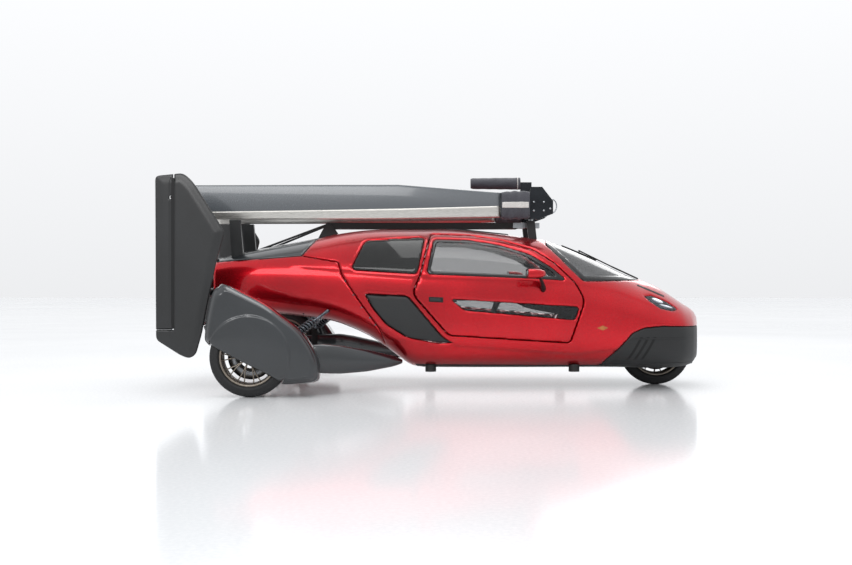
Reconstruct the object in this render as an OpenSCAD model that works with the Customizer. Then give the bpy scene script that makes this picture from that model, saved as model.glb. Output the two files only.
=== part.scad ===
// A road-going gyrocopter as it parks: mast folded forward on the roof, blades trailing, tail boom drawn in.
// +X nose, +Y left, +Z up. The origin lies on the ground, at the centre of the whole box.

/* [Body] */
// Length from the nose to the rudders' trailing edges
overall_l = 4000; // [3600:10:4400]
// Greatest width of the cabin shell
cabin_w = 1324; // [1200:2:1440]
// Height of the cabin roof above the ground
roof_h = 1199; // [1100:1:1300]
// Thickness of the body shell's panels
shell_t = 30; // [20:1:36]
// Thickness of a whole door
door_t = 50; // [40:1:60]
// Thickness of the glazing
glass_t = 6; // [4:0.5:10]
// Width of the shut line round a door
shut_gap = 6; // [5:0.5:10]
// Height of the cabin floor
floor_z = 215; // [205:1:230]

/* [Wheels] */
// Radius of the front tyre
front_r = 272; // [240:1:280]
// Width of the front tyre
front_w = 140; // [110:1:150]
// Radius of a rear tyre
rear_r = 277; // [240:1:285]
// Width of a rear tyre
rear_w = 160; // [130:1:165]
// Distance from the centre line to a rear tyre's centre plane
rear_track = 895; // [880:1:900]
// Height of the tyre wall
tyre_wall = 72; // [60:1:90]

/* [Rotor and mast] */
// Length of the mast between its two pivots
mast_l = 1450; // [1300:10:1500]
// Width of the mast
mast_w = 90; // [70:1:96]
// Depth of the mast
mast_d = 50; // [40:1:50]
// Chord of a rotor blade
blade_chord = 256; // [200:1:260]
// Greatest thickness of a rotor blade
blade_t = 36; // [20:1:50]
// Distance from the centre line to a folded blade
blade_y = 300; // [240:1:320]

/* [Tail] */
// Outer radius of the boom's moving outer tube
boom_r = 35; // [30:1:38]
// Wall of each boom tube
boom_wall = 6; // [4:0.5:8]
// Distance from the centre line to a boom
boom_y = 340; // [330:1:345]
// Height of the booms
boom_z = 720; // [715:1:725]
// Distance from the centre line to a fin
fin_y = 775; // [760:1:785]
// Greatest thickness of a fin
fin_t = 40; // [30:1:48]
// Radius of the propeller
propeller_r = 325; // [250:1:325]

/* [Clearances] */
// Radial clearance of a shaft in its bore
running = 0.05; // [0.02:0.01:0.1]
// Gap between fixed pieces that are seated on each other
seat_gap = 0.3; // [0.2:0.05:0.5]

/* [Hidden] */

// Lengthwise, widthwise and upright ratios of the driving sizes to those that the outlines are drawn for
kx = overall_l / 4000;
ky = cabin_w / 1324;
kz = roof_h / 1199;
far = 3000;

red = "#c00020";
slate = "#23282c";
black = "#1c1c1e";
steel = "#8b9096";
rubber = "#18181a";
rim_grey = "#8a8279";
blade_grey = "#53575b";
smoke = "#3a3b38";
trim = "#2b2b2b";

// ---------------------------------------------------------------- body surface
tail_x = -1660 * kx;
nose_x = 2000 * kx;
// Height of the centre line over the length, then of the belly, of the widest line, and the half width there
crown_rail = [
    [-1660, 985], [-1520, 1020], [-866, 1145], [-726, 1172], [-500, 1196], [-150, 1199], [100, 1197], [481, 1160],
    [754, 1125], [855, 1106], [1151, 989], [1509, 826], [1587, 802], [1688, 756], [1868, 639], [1969, 576],
    [2000, 537]
];
belly_rail = [
    [-1660, 600], [-1072, 536], [-813, 500], [-677, 457], [-519, 385], [-390, 298], [-296, 227], [-224, 176],
    [-150, 153], [0, 148], [1370, 146], [1700, 135], [1900, 157], [2000, 210]
];
waist_rail = [[-1660, 790], [-1000, 740], [-500, 650], [0, 600], [1040, 600], [1400, 540], [1700, 440], [2000, 380]];
width_rail = [
    [-1660, 430], [-1400, 462], [-1000, 525], [-600, 605], [-300, 650], [0, 662], [500, 662], [1000, 632],
    [1300, 582], [1600, 510], [1800, 430], [1900, 325], [1950, 222], [1980, 125], [2000, 60]
];
// How square the section's shoulders are: 2 is an ellipse
shoulder_rail = [[-1660, 3], [-900, 2.6], [0, 2.8], [700, 2.7], [1100, 2.15], [1500, 2], [2000, 2.2]];
sill_square = 3.6;
stations = [for (x = [-1660:95:1760]) x, 1830, 1885, 1930, 1965, 1987, 2000];
coarse_stations = [
    for (x = [-1660:190:-900]) x, for (x = [-805:95:-140]) x, for (x = [50:190:1570]) x, 1700, 1830, 1930, 2000
];

// A smooth curve through a rail's points, read at x
function slope(t, i) =
    i == 0 ? (t[1][1] - t[0][1]) / (t[1][0] - t[0][0])
    : i == len(t) - 1 ? (t[i][1] - t[i - 1][1]) / (t[i][0] - t[i - 1][0])
    : (t[i + 1][1] - t[i - 1][1]) / (t[i + 1][0] - t[i - 1][0]);
function span(t, x, i = 0) = i >= len(t) - 2 || x < t[i + 1][0] ? i : span(t, x, i + 1);
function rail(t, x) =
    let (
        i = span(t, x),
        d = t[i + 1][0] - t[i][0],
        s = (min(max(x, t[0][0]), t[len(t) - 1][0]) - t[i][0]) / d
    )
    t[i][1] * (2 * pow(s, 3) - 3 * s * s + 1) + slope(t, i) * d * (pow(s, 3) - 2 * s * s + s)
    + t[i + 1][1] * (3 * s * s - 2 * pow(s, 3)) + slope(t, i + 1) * d * (pow(s, 3) - s * s);

function crown(x) = kz * rail(crown_rail, x / kx);
function belly(x) = kz * rail(belly_rail, x / kx);
function waist(x) = kz * rail(waist_rail, x / kx);
function half_w(x) = ky * rail(width_rail, x / kx);
function shoulder(x) = rail(shoulder_rail, x / kx);
// Half width of the outer surface at a height
function skin_y(x, z) =
    z > waist(x)
    ? half_w(x) * pow(1 - pow((z - waist(x)) / (crown(x) - waist(x)), shoulder(x)), 1 / shoulder(x))
    : half_w(x) * pow(1 - pow((waist(x) - z) / (waist(x) - belly(x)), sill_square), 1 / sill_square);

function section(x, xs, inset, step) = [
    for (a = [-90:step:269])
        let (
            up = sin(a) >= 0,
            n = up ? shoulder(xs) : sill_square,
            h = up ? crown(xs) - waist(xs) - inset : waist(xs) - belly(xs) - inset,
            c = pow(abs(cos(a)), 2 / n) * sign(cos(a)),
            s = pow(abs(sin(a)), 2 / n) * sign(sin(a))
        )
        [x, (half_w(xs) - inset) * c, waist(xs) + h * s]
];

// A closed solid through rings of equally many points
module loft(rings) {
    n = len(rings[0]);
    last = len(rings) - 1;
    sides = [
        for (k = [0:last - 1])
            for (i = [0:n - 1])
                let (a = k * n + i, b = k * n + (i + 1) % n)
                each [[a, a + n, b + n], [a, b + n, b]]
    ];
    polyhedron(
        [for (r = rings) each r],
        concat([[for (i = [0:n - 1]) i]], sides, [[for (i = [n - 1:-1:0]) last * n + i]])
    );
}

// The body's outer surface, or the surface a distance inside it
module body(inset = 0) {
    xs = inset > 0 ? coarse_stations : stations;
    step = inset > 0 ? 15 : 12;
    mid = (tail_x + nose_x) / 2;
    reach = (nose_x - tail_x) / 2;
    loft([for (x = xs) section(mid + (x * kx - mid) * (reach - inset) / reach, x * kx, inset, step)]);
}

// Everything in it becomes one faceted surface
module one_mesh() resize([0, 0, 0]) children();

function scaled(points) = [for (p = points) [p[0] * kx, p[1] * kz]];

// A side outline carried across the body
module across(points, y0 = 0, y1 = far, grow = 0, round = 0)
    translate([0, y1, 0])
        rotate([90, 0, 0])
            linear_extrude(height = y1 - y0)
                offset(delta = grow)
                    offset(r = round, $fn = 24)
                        offset(delta = -round)
                            polygon(scaled(points));

module right_side() mirror([0, 1, 0]) children();

module both_sides() {
    children();
    right_side() children();
}

// A slab of the body's skin within a side outline
module skin_panel(points, depth, y0 = 0, y1 = far, grow = 0, round = 0, start = 0)
    one_mesh()
        intersection() {
            difference() {
                body(start);
                body(depth);
            }
            across(points, y0, y1, grow, round);
        }

// ---------------------------------------------------------------- side outlines
door_outline = [
    [-174, 690], [70, 413], [940, 356], [1033, 622], [1040, 665], [1014, 729], [978, 792], [836, 932], [690, 1030],
    [462, 1102], [235, 1139], [-60, 1147], [-135, 838], [-181, 737]
];
door_window = [
    [-92, 852], [920, 808], [808, 903], [662, 997], [446, 1068], [228, 1104], [-36, 1112]
];
strip_window = [[82, 670], [1010, 614], [978, 520], [180, 590]];
quarter_window = [[-641, 884], [-543, 1103], [-104, 1128], [-158, 852]];
intake_outline = [
    [-540, 708], [-232, 696], [-196, 658], [26, 396], [110, 345], [0, 345], [-210, 378], [-382, 485], [-483, 607]
];
windscreen_outline = [[794, 1073], [1043, 803], [1545, 812], [1640, 1000], [870, 1190]];
bumper_outline = [
    [1196, 40], [1196, 171], [1220, 214], [1336, 334], [1409, 422], [1493, 456], [1637, 469], [1984, 460],
    [2100, 455], [2100, 40]
];
headlamp_outline = [[1510, 690], [1578, 697], [1690, 652], [1779, 593], [1734, 581], [1630, 600], [1563, 645]];
deck_outline = [[-920, 1120], [-1010, 987], [-1700, 938], [-1700, 1300], [-850, 1300], [-850, 1153]];
cowl_outline = [
    [-1010, 987], [-736, 938], [-707, 845], [-585, 665], [-434, 455], [-372, 260], [-1700, 260], [-1700, 938]
];
seam = 0.5;
window_round = 22;

// ---------------------------------------------------------------- wheels' places
front_x = 1685 * kx;
rear_x = -1311 * kx;
well_r = sqrt(pow(front_r, 2) + pow(front_w / 2, 2)) + 6;
well_top = 2 * front_r + 56;
rear_rim_r = rear_r - tyre_wall;
front_rim_r = front_r - tyre_wall;

// ---------------------------------------------------------------- door hinges
hinge_x = 1120 * kx;
hinge_pin_r = 5;
hinge_boss_r = 9;
hinge_low = 420 * kz;
hinge_top = 658 * kz;
hinge_y = skin_y(hinge_x, (hinge_low + hinge_top) / 2) - 19;
hinge_arm_h = 24;
hinge_arm_t = 10;
// Each arm's foot, where it meets the door, and how far inboard its neck goes to pass the shut line's edge
hinge_arms = [[hinge_low + 8, 935 * kx, 145], [hinge_top - 8 - hinge_arm_h, 1003 * kx, 95]];

module hinge_pocket()
    translate([hinge_x - 180, hinge_y - 60, hinge_low - 20])
        cube([200, 60 + hinge_boss_r + 5, hinge_top - hinge_low + 40]);

module body_shell()
    color(red)
        one_mesh()
            difference() {
                body();
                intersection() {
                    body(shell_t);
                    translate([-far, -far, floor_z]) cube(2 * far);
                }
                across(door_outline, -far, far, shut_gap, 12);
                across(quarter_window, -far, far, 0, window_round);
                across(windscreen_outline, -far, far, 0, 10);
                across(intake_outline, -far, far, 0, 10);
                across(bumper_outline, -far, far, seam);
                across(cowl_outline, -far, far, seam);
                across(deck_outline, -far, far, seam);
                both_sides() across(headlamp_outline, 100, far, 0, 8);
                translate([front_x, 0, -1]) cylinder(r = well_r, h = well_top + 1, $fn = 72);
                both_sides() hinge_pocket();
            }

module engine_cowl()
    color(red)
        one_mesh()
            difference() {
                intersection() {
                    body();
                    across(cowl_outline, -far, far);
                }
                body(shell_t);
                for (s = [-1, 1])
                    translate([tail_x - 10, s * boom_y, boom_z])
                        rotate([0, 90, 0])
                            cylinder(r = boom_r + boom_wall + 5, h = 60, $fn = 48);
                translate([tail_x - 10, 0, shaft_z])
                    rotate([0, 90, 0])
                        cylinder(r = gearbox_r + 5, h = 60, $fn = 48);
            }

module rear_deck()
    color(slate)
        one_mesh()
            difference() {
                intersection() {
                    body();
                    across(deck_outline, -far, far);
                }
                body(shell_t);
            }

module front_bumper()
    color(trim)
        one_mesh()
            difference() {
                intersection() {
                    body();
                    across(bumper_outline, -far, far);
                }
                body(shell_t);
                translate([front_x, 0, -1]) cylinder(r = well_r, h = well_top + 1, $fn = 72);
            }

module windscreen() color(smoke, 0.5) skin_panel(windscreen_outline, glass_t, -far, far, -seat_gap, 10);

module quarter_windows()
    color(smoke)
        both_sides() skin_panel(quarter_window, glass_t, 100, far, -seat_gap, window_round);

module side_intakes()
    color(black)
        both_sides() skin_panel(intake_outline, shell_t - 1, 100, far, -seat_gap, 10, 15);

module headlamps()
    color("#d8dde2")
        both_sides() skin_panel(headlamp_outline, shell_t - 2, 100, far, -seat_gap, 8);

lamp_w = 120;
lamp_h = 50;
lamp_z = 800 * kz;
module tail_lamps()
    color("#a00010")
        both_sides()
            translate([tail_x - seat_gap - 14, 235, lamp_z])
                cube([14, lamp_w, lamp_h]);

// ---------------------------------------------------------------- cabin
bulkhead_x = 1370 * kx;
bulkhead_t = 14;
dash_back = 700 * kx;
dash_front = bulkhead_x - seat_gap;
dash_low = 560 * kz;
dash_top = 772 * kz;
pillar_in = 102;
dash_y = hinge_y - pillar_in - 30;
column_l = 240;
module dashboard()
    color("#26272a") {
        one_mesh()
            intersection() {
                body(shell_t + seat_gap);
                translate([0, dash_y, 0])
                    rotate([90, 0, 0])
                        linear_extrude(height = 2 * dash_y)
                            polygon([
                                [dash_back, dash_low + 30], [dash_back - 20, dash_top - 90],
                                [dash_back + 40, dash_top], [dash_front, dash_top],
                                [dash_front, dash_low - 60], [dash_back + 160, dash_low]
                            ]);
            }
        at_steering() translate([0, 0, 1]) cylinder(r = column_r, h = column_l, $fn = 32);
    }

seat_y = 262 * ky;
seat_w = 402 * ky;
seat_front = 290 * kx;
seat_back = -170 * kx;
cushion_low = floor_z + 30;
cushion_t = 110;
back_h = 640 * kz;
back_t = 90;
back_start = 102;
back_lean = 20;
pedestal_w = 260;
tray_t = 12;

module seat_place() for (s = [-1, 1]) translate([0, s * seat_y, 0]) children();

module at_back() translate([seat_back, 0, cushion_low]) rotate([0, -back_lean, 0]) children();

module seat_shells()
    color("#202124")
        one_mesh()
            intersection() {
                body(shell_t + seat_gap);
                seat_place() {
                    translate([seat_back + 20, -pedestal_w / 2, floor_z + seat_gap])
                        cube([seat_front - seat_back - 40, pedestal_w, cushion_low - floor_z - 2 * seat_gap]);
                    at_back()
                        translate([-back_t - tray_t, -seat_w / 2 + 10, 10])
                            cube([tray_t, seat_w - 20, back_h - 30]);
                    translate([seat_back - 104, -60, floor_z + seat_gap])
                        cube([130, 120, 24]);
                }
            }

module seat_cushions()
    color("#3a3a3e")
        seat_place()
            translate([seat_back - 10, -seat_w / 2, cushion_low])
                cube([seat_front - seat_back + 10, seat_w, cushion_t]);

module seat_backs()
    color("#3a3a3e")
        seat_place()
            at_back()
                translate([-back_t + seat_gap, -seat_w / 2, back_start])
                    cube([back_t - seat_gap, seat_w, back_h - back_start]);

wheel_tilt = 22;
steer_x = 500 * kx;
steer_z = 690 * kz;
steer_r = 165;
column_r = 14;
module at_steering() translate([steer_x, seat_y, steer_z]) rotate([0, 90 + wheel_tilt, 0]) children();

module steering_wheel()
    color("#222226")
        at_steering() {
            rotate_extrude($fn = 64) translate([steer_r, 0]) circle(r = 14, $fn = 24);
            difference() {
                union() {
                    translate([0, 0, -14]) cylinder(r = 34, h = 40, $fn = 48);
                    for (a = [0, 120, 240])
                        rotate([0, 0, a + 90])
                            translate([20, -11, -6])
                                cube([steer_r - 22, 22, 12]);
                }
                translate([0, 0, 0]) cylinder(r = column_r + running, h = 60, $fn = 32);
            }
        }

pad_r = 40;
pad_z = 132;
pad_xs = [-60 * kx, 1000 * kx];
pad_y = 400 * ky;
module jack_pads()
    color(black)
        one_mesh()
            difference() {
                for (x = pad_xs)
                    for (s = [-1, 1])
                        translate([x, s * pad_y, pad_z]) cylinder(r = pad_r, h = 90, $fn = 32);
                body(-seat_gap);
            }

// ---------------------------------------------------------------- firewall, engine and gearbox
firewall_x = -690 * kx;
firewall_t = 20;
module firewall()
    color("#4a4c50")
        one_mesh()
            intersection() {
                body(shell_t + seat_gap);
                translate([firewall_x, -far, floor_z + seat_gap]) cube([firewall_t, 2 * far, far]);
            }

engine_front = firewall_x - 40;
engine_l = 540 * kx;
engine_w = 420;
engine_low = 600 * kz;
engine_h = 350 * kz;
shaft_z = 860 * kz;
gearbox_r = 60;
shaft_r = 18;
module engine_block()
    color("#5c6066")
        one_mesh()
            intersection() {
                body(shell_t + seat_gap);
                union() {
                    translate([engine_front - engine_l, -engine_w / 2, engine_low])
                        cube([engine_l, engine_w, engine_h]);
                    for (x = [engine_front - 90, engine_front - engine_l + 30])
                        for (s = [-1, 1])
                            translate([x, s * 120 - 30, belly_rail[0][1] * kz - 300])
                                cube([60, 60, 320]);
                }
            }

propeller_x = tail_x - 60;
module propeller_gearbox()
    color(steel) {
        translate([tail_x - 16, 0, shaft_z])
            rotate([0, 90, 0])
                cylinder(r = gearbox_r, h = engine_front - engine_l - seat_gap - tail_x + 16, $fn = 48);
        translate([propeller_x - 34, 0, shaft_z])
            rotate([0, 90, 0])
                cylinder(r = shaft_r, h = 80, $fn = 32);
    }

blade_root = 40;
module propeller()
    color("#1d1f22")
        translate([propeller_x, 0, shaft_z])
            rotate([0, 90, 0]) {
                difference() {
                    translate([0, 0, -24]) cylinder(r = 52, h = 48, $fn = 48);
                    translate([0, 0, -60]) cylinder(r = shaft_r + running, h = 120, $fn = 32);
                }
                for (a = [60, 180, 300])
                    rotate([0, 0, a])
                        one_mesh()
                            loft([
                                for (k = [0:6])
                                    let (
                                        r = blade_root + (propeller_r - blade_root) * k / 6,
                                        c = 30 + 16 * sin(160 * k / 6) - (k == 6 ? 14 : 0),
                                        t = 9 - k,
                                        twist = 48 - 5 * k
                                    )
                                    [
                                        for (i = [0:11])
                                            let (y = c * cos(30 * i), z = t * sin(30 * i))
                                            [r, y * cos(twist) - z * sin(twist), y * sin(twist) + z * cos(twist)]
                                    ]
                            ]);
            }

// ---------------------------------------------------------------- doors
// Room to swing: the door's end face leans away from the shut line by a share of its depth, so that its inner edge
// passes the shell. The line is given as side view points in rising order, and way is 1 for the rear end, -1 for the front.
rear_end = [[-179, 730], [-135, 838], [-97, 990], [-78, 1070], [-59, 1150], [-57, 1160]];
front_end = [[935, 340], [941, 358], [1033, 622], [1040, 665], [1014, 729]];
module swing_room(line, share, way) {
    rings = [
        for (p = scaled(line))
            let (y = skin_y(p[0], min(p[1], crown(p[0]) - 8)), x0 = p[0] + way * share * (y - 100), x1 = p[0] - way * share * 40)
            way > 0
            ? [[x0, 100, p[1]], [x1, y + 40, p[1]], [x1 - 300, y + 40, p[1]], [x0 - 300, 100, p[1]]]
            : [[x0, 100, p[1]], [x0 + 300, 100, p[1]], [x1 + 300, y + 40, p[1]], [x1, y + 40, p[1]]]
    ];
    loft(rings);
}

module door_panel()
    one_mesh()
        difference() {
            intersection() {
                difference() {
                    body();
                    body(door_t);
                }
                across(door_outline, 100, far, 0, 12);
            }
            across(door_window, 0, far, 0, window_round);
            across(strip_window, 0, far, 0, 10);
            swing_room(rear_end, 0.32, 1);
            swing_room(front_end, 0.12, -1);
        }

// A swan-neck arm in plan: from the pin inboard past the pillar, back along the cabin, then out to the door
module hinge_arm(z, door_x, neck) {
    reach = door_x - hinge_x;
    path = [[0, 0], [-8, -60], [-0.31 * neck, -neck], [reach, -neck], [reach, skin_y(door_x, z) - door_t + 12 - hinge_y]];
    translate([hinge_x, hinge_y, z])
        difference() {
            union() {
                cylinder(r = hinge_boss_r, h = hinge_arm_h, $fn = 32);
                one_mesh()
                    for (i = [1:len(path) - 1])
                        hull()
                            for (p = [path[i - 1], path[i]])
                                translate(p) cylinder(d = hinge_arm_t, h = hinge_arm_h, $fn = 16);
            }
            translate([0, 0, -1]) cylinder(r = hinge_pin_r + running, h = hinge_arm_h + 2, $fn = 32);
        }
}

module door() color(red) {
    door_panel();
    for (a = hinge_arms) hinge_arm(a[0], a[1], a[2]);
}
module door_left() door();
module door_right() right_side() door();

module door_glass()
    color(smoke, 0.35) {
        skin_panel(door_window, glass_t, 100, far, -seat_gap, window_round);
        skin_panel(strip_window, glass_t, 100, far, -seat_gap, 10);
    }
module door_glass_left() door_glass();
module door_glass_right() right_side() door_glass();

lug_h = 8;
module door_hinges()
    color("#303236")
        both_sides() {
            translate([hinge_x, hinge_y, hinge_low - 4])
                cylinder(r = hinge_pin_r, h = hinge_top - hinge_low + 8, $fn = 32);
            for (z = [hinge_low - 4, hinge_top - lug_h + 4])
                translate([hinge_x - 8, hinge_y - pillar_in - 10, z])
                    cube([16, pillar_in + 16, lug_h]);
            one_mesh()
                intersection() {
                    body(shell_t + seat_gap);
                    translate([hinge_x - 8, hinge_y - pillar_in - 20, floor_z + seat_gap])
                        cube([40, 20, hinge_top - floor_z + 4]);
                }
        }

mirror_y = 850 * ky;
module mirror_piece()
    color(red)
        one_mesh()
            difference() {
                union() {
                    hull() {
                        for (p = [[628, 835], [628, 872], [738, 838], [738, 870]])
                            translate([p[0] * kx, mirror_y, p[1] * kz]) sphere(r = 19, $fn = 16);
                        for (p = [[650, 845], [715, 845]])
                            translate([p[0] * kx, mirror_y + 60, p[1] * kz]) sphere(r = 14, $fn = 12);
                    }
                    hull() {
                        translate([700 * kx, mirror_y - 6, 838 * kz]) sphere(r = 12, $fn = 12);
                        translate([760 * kx, 640 * ky, 745 * kz]) sphere(r = 24, $fn = 12);
                        translate([735 * kx, 640 * ky, 745 * kz]) sphere(r = 24, $fn = 12);
                    }
                }
                body(-seat_gap);
            }
module mirror_left() mirror_piece();
module mirror_right() right_side() mirror_piece();

// ---------------------------------------------------------------- front wheel
fork_gap = 12;
fork_leg_t = 18;
stem_r = 20;
axle_r = 12;
hub_r = 32;
fork_y = front_w / 2 + fork_gap;
crown_low = 2 * front_r + 8;
crown_t = 20;
head_top = well_top + 80;

module steering_head()
    color("#34363a")
        difference() {
            union() {
                one_mesh()
                    intersection() {
                        body(shell_t + seat_gap);
                        union() {
                            translate([bulkhead_x, -far, floor_z + seat_gap]) cube([bulkhead_t, 2 * far, far]);
                            translate([bulkhead_x, -far, well_top])
                                cube([front_x + 190 - bulkhead_x, 2 * far, 14]);
                        }
                    }
                translate([front_x, 0, well_top]) cylinder(r = 46, h = head_top - well_top, $fn = 48);
            }
            translate([front_x, 0, well_top - 1]) cylinder(r = stem_r + running, h = 200, $fn = 48);
        }

module front_fork()
    color("#26282b")
        translate([front_x, 0, 0]) {
            translate([0, 0, crown_low]) cylinder(r = stem_r, h = head_top - 10 - crown_low, $fn = 48);
            translate([-34, -fork_y - fork_leg_t, crown_low]) cube([68, 2 * (fork_y + fork_leg_t), crown_t]);
            for (s = [-1, 1])
                translate([-26, s * (fork_y + fork_leg_t / 2) - fork_leg_t / 2, front_r - 30])
                    cube([52, fork_leg_t, crown_low - front_r + 40]);
            translate([0, fork_y + fork_leg_t, front_r])
                rotate([90, 0, 0])
                    cylinder(r = axle_r, h = 2 * (fork_y + fork_leg_t), $fn = 32);
        }

// A tyre as a ring about the Y axis
module tyre(r, w, rim_r)
    color(rubber)
        rotate([90, 0, 0])
            rotate_extrude($fn = 96)
                polygon([
                    [rim_r, -w * 0.40], [rim_r + (r - rim_r) * 0.45, -w * 0.5], [r - 22, -w * 0.47],
                    [r - 6, -w * 0.36], [r, -w * 0.2], [r, w * 0.2], [r - 6, w * 0.36], [r - 22, w * 0.47],
                    [rim_r + (r - rim_r) * 0.45, w * 0.5], [rim_r, w * 0.40]
                ]);

// A rim with its spokes and hub about the Y axis; the outer face looks along +Y
module rim(r, w, bore, spokes)
    color(rim_grey)
        rotate([-90, 0, 0])
            difference() {
                union() {
                    rotate_extrude($fn = 96)
                        polygon([
                            [r - seat_gap, -w * 0.40], [r - seat_gap, w * 0.40], [r - 10, w * 0.42],
                            [r - 18, w * 0.40], [r - 14, 0], [r - 18, -w * 0.40], [r - 10, -w * 0.42]
                        ]);
                    translate([0, 0, -w * 0.42]) cylinder(r = hub_r, h = w * 0.82, $fn = 48);
                    for (k = [0:spokes - 1])
                        rotate([0, 0, 360 * k / spokes])
                            translate([hub_r - 4, -7, w * 0.26])
                                cube([r - hub_r - 8, 14, 14]);
                }
                translate([0, 0, -w]) cylinder(r = bore + running, h = 2 * w, $fn = 32);
            }

module front_tyre() translate([front_x, 0, front_r]) tyre(front_r, front_w, front_rim_r);
module front_rim() translate([front_x, 0, front_r]) rim(front_rim_r, front_w, axle_r, 10);

// ---------------------------------------------------------------- rear wheels, arms and spats
rear_axle_r = 16;
spat_in = rear_track - rear_w / 2 - 24;
spat_out = 1000;
spat_gap = 12;
arm_end_y = spat_in - seat_gap;
arm_t = 30;
spat_outline = [
    [-1530, 762], [-1488, 779], [-1347, 714], [-1205, 640], [-1087, 554], [-969, 463], [-898, 374], [-851, 287],
    [-830, 209], [-839, 114], [-922, 91], [-1051, 82], [-1099, 91], [-1205, 147], [-1441, 265], [-1601, 362],
    [-1624, 451], [-1577, 705]
];
// How full the spat's outline is at each share of its width, from its inner face out
spat_fullness = [[0, 0.93], [0.12, 0.985], [0.35, 1], [0.68, 0.985], [0.86, 0.94], [0.96, 0.86], [1, 0.78]];

function middle(points) = [
    for (c = [0, 1]) (max([for (p = points) p[c]]) + min([for (p = points) p[c]])) / 2
];
// A closed curve through points, with extra steps between them
function curve_point(a, b, c, d, t) =
    0.5 * (2 * b + (c - a) * t + (2 * a - 5 * b + 4 * c - d) * t * t + (3 * b - a - 3 * c + d) * pow(t, 3));
function closed_curve(p, steps) =
    let (n = len(p))
    [
        for (i = [0:n - 1])
            for (k = [0:steps - 1])
                curve_point(p[(i + n - 1) % n], p[i], p[(i + 1) % n], p[(i + 2) % n], k / steps)
    ];

module spat()
    one_mesh()
        difference() {
            loft_across(closed_curve(scaled(spat_outline), 2), spat_in, spat_out, spat_fullness);
            translate([rear_x, rear_track + rear_w / 2 + spat_gap, rear_r])
                rotate([90, 0, 0])
                    cylinder(r = rear_r + spat_gap, h = rear_w + 2 * spat_gap, $fn = 72);
            translate([rear_x, rear_track - rear_w / 2 - far / 2, rear_r])
                rotate([90, 0, 0])
                    cylinder(r = rear_axle_r + 4, h = far, center = true, $fn = 32);
        }

// A side outline carried across with a fullness that changes over its width
module loft_across(points, y0, y1, fullness) {
    c = middle(points);
    loft([
        for (f = fullness)
            [
                for (i = [0:len(points) - 1])
                    let (p = c + (points[i] - c) * f[1])
                    [p[0], y0 + (y1 - y0) * f[0], p[1]]
            ]
    ]);
}

module rear_spats() color(slate) both_sides() spat();

arm_root = [-255 * kx, 400 * ky, 215 * kz];
arm_mid = [-700 * kx, 700, 240 * kz];
module rear_arm() {
    one_mesh()
        difference() {
            union() {
                hull() {
                    translate(arm_root) rotate([-90, 0, 0]) cylinder(r = 15, h = 150, $fn = 24);
                    translate(arm_mid + [0, -40, -62]) rotate([-90, 0, 0]) cylinder(r = 50, h = 70, $fn = 24);
                    translate(arm_mid + [0, -40, 50]) rotate([-90, 0, 0]) cylinder(r = 46, h = 60, $fn = 24);
                    translate([-820 * kx, arm_end_y - 34, 255 * kz]) rotate([-90, 0, 0]) cylinder(r = 104, h = 34, $fn = 32);
                }
                hull() {
                    translate([-820 * kx, arm_end_y - arm_t, 255 * kz]) rotate([-90, 0, 0]) cylinder(r = 80, h = arm_t, $fn = 32);
                    translate([rear_x, arm_end_y - arm_t, rear_r]) rotate([-90, 0, 0]) cylinder(r = 46, h = arm_t, $fn = 32);
                }
            }
            body(-3 * seat_gap);
        }
    translate([rear_x, arm_end_y - 20, rear_r])
        rotate([-90, 0, 0])
            cylinder(r = rear_axle_r, h = rear_track + rear_w / 2 - arm_end_y + 20, $fn = 32);
}
module rear_arms() color(slate) both_sides() rear_arm();

shock_top = [-800 * kx, 560 * ky, 590 * kz];
lug_t = 24;
shock_foot = [-1045 * kx, arm_end_y - arm_t - seat_gap - lug_t / 2, 400 * kz];
module rear_shock() {
    d = shock_foot - shock_top;
    l = norm(d);
    one_mesh()
        difference() {
            union() {
                translate(shock_top)
                    rotate([0, acos(d[2] / l), atan2(d[1], d[0])]) {
                        cylinder(r = 13, h = l, $fn = 12);
                        translate([0, 0, l * 0.35]) cylinder(r = 34, h = l * 0.55, $fn = 20);
                    }
                translate(shock_foot + [-25, -lug_t / 2, -165]) cube([50, lug_t, 165]);
                translate(shock_foot) sphere(r = 18, $fn = 10);
            }
            body(-seat_gap);
        }
}
module rear_shocks() color("#55585d") both_sides() rear_shock();

module rear_tyre_left() translate([rear_x, rear_track, rear_r]) tyre(rear_r, rear_w, rear_rim_r);
module rear_tyre_right() right_side() rear_tyre_left();
module rear_rim_left() translate([rear_x, rear_track, rear_r]) rim(rear_rim_r, rear_w, rear_axle_r, 12);
module rear_rim_right() right_side() rear_rim_left();

// ---------------------------------------------------------------- wiper
module wiper_bar(x0, x1, lift0, lift1, r)
    hull() {
        translate([x0, 0, crown(x0) + lift0]) sphere(r = r, $fn = 8);
        translate([x1, 0, crown(x1) + lift1]) sphere(r = r, $fn = 8);
    }
module wiper()
    color(black) {
        wiper_bar(964 * kx, 1095 * kx, 8.3, 8.3, 7);
        wiper_bar(1095 * kx, 1225 * kx, 8.3, 8.5, 7);
        wiper_bar(1095 * kx, 1350 * kx, 26, 16, 5);
        wiper_bar(1350 * kx, 1552 * kx, 16, 8, 6);
        wiper_bar(1095 * kx, 1100 * kx, 10, 27, 5);
    }

// ---------------------------------------------------------------- mast and rotor
pivot_x = -850 * kx;
pivot_z = roof_h + 5 + mast_d / 2;
pivot_pin_r = 12;
head_x = pivot_x + mast_l;
spin_x = head_x + 120;
ear_t = 14;
clear = 5;

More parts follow.
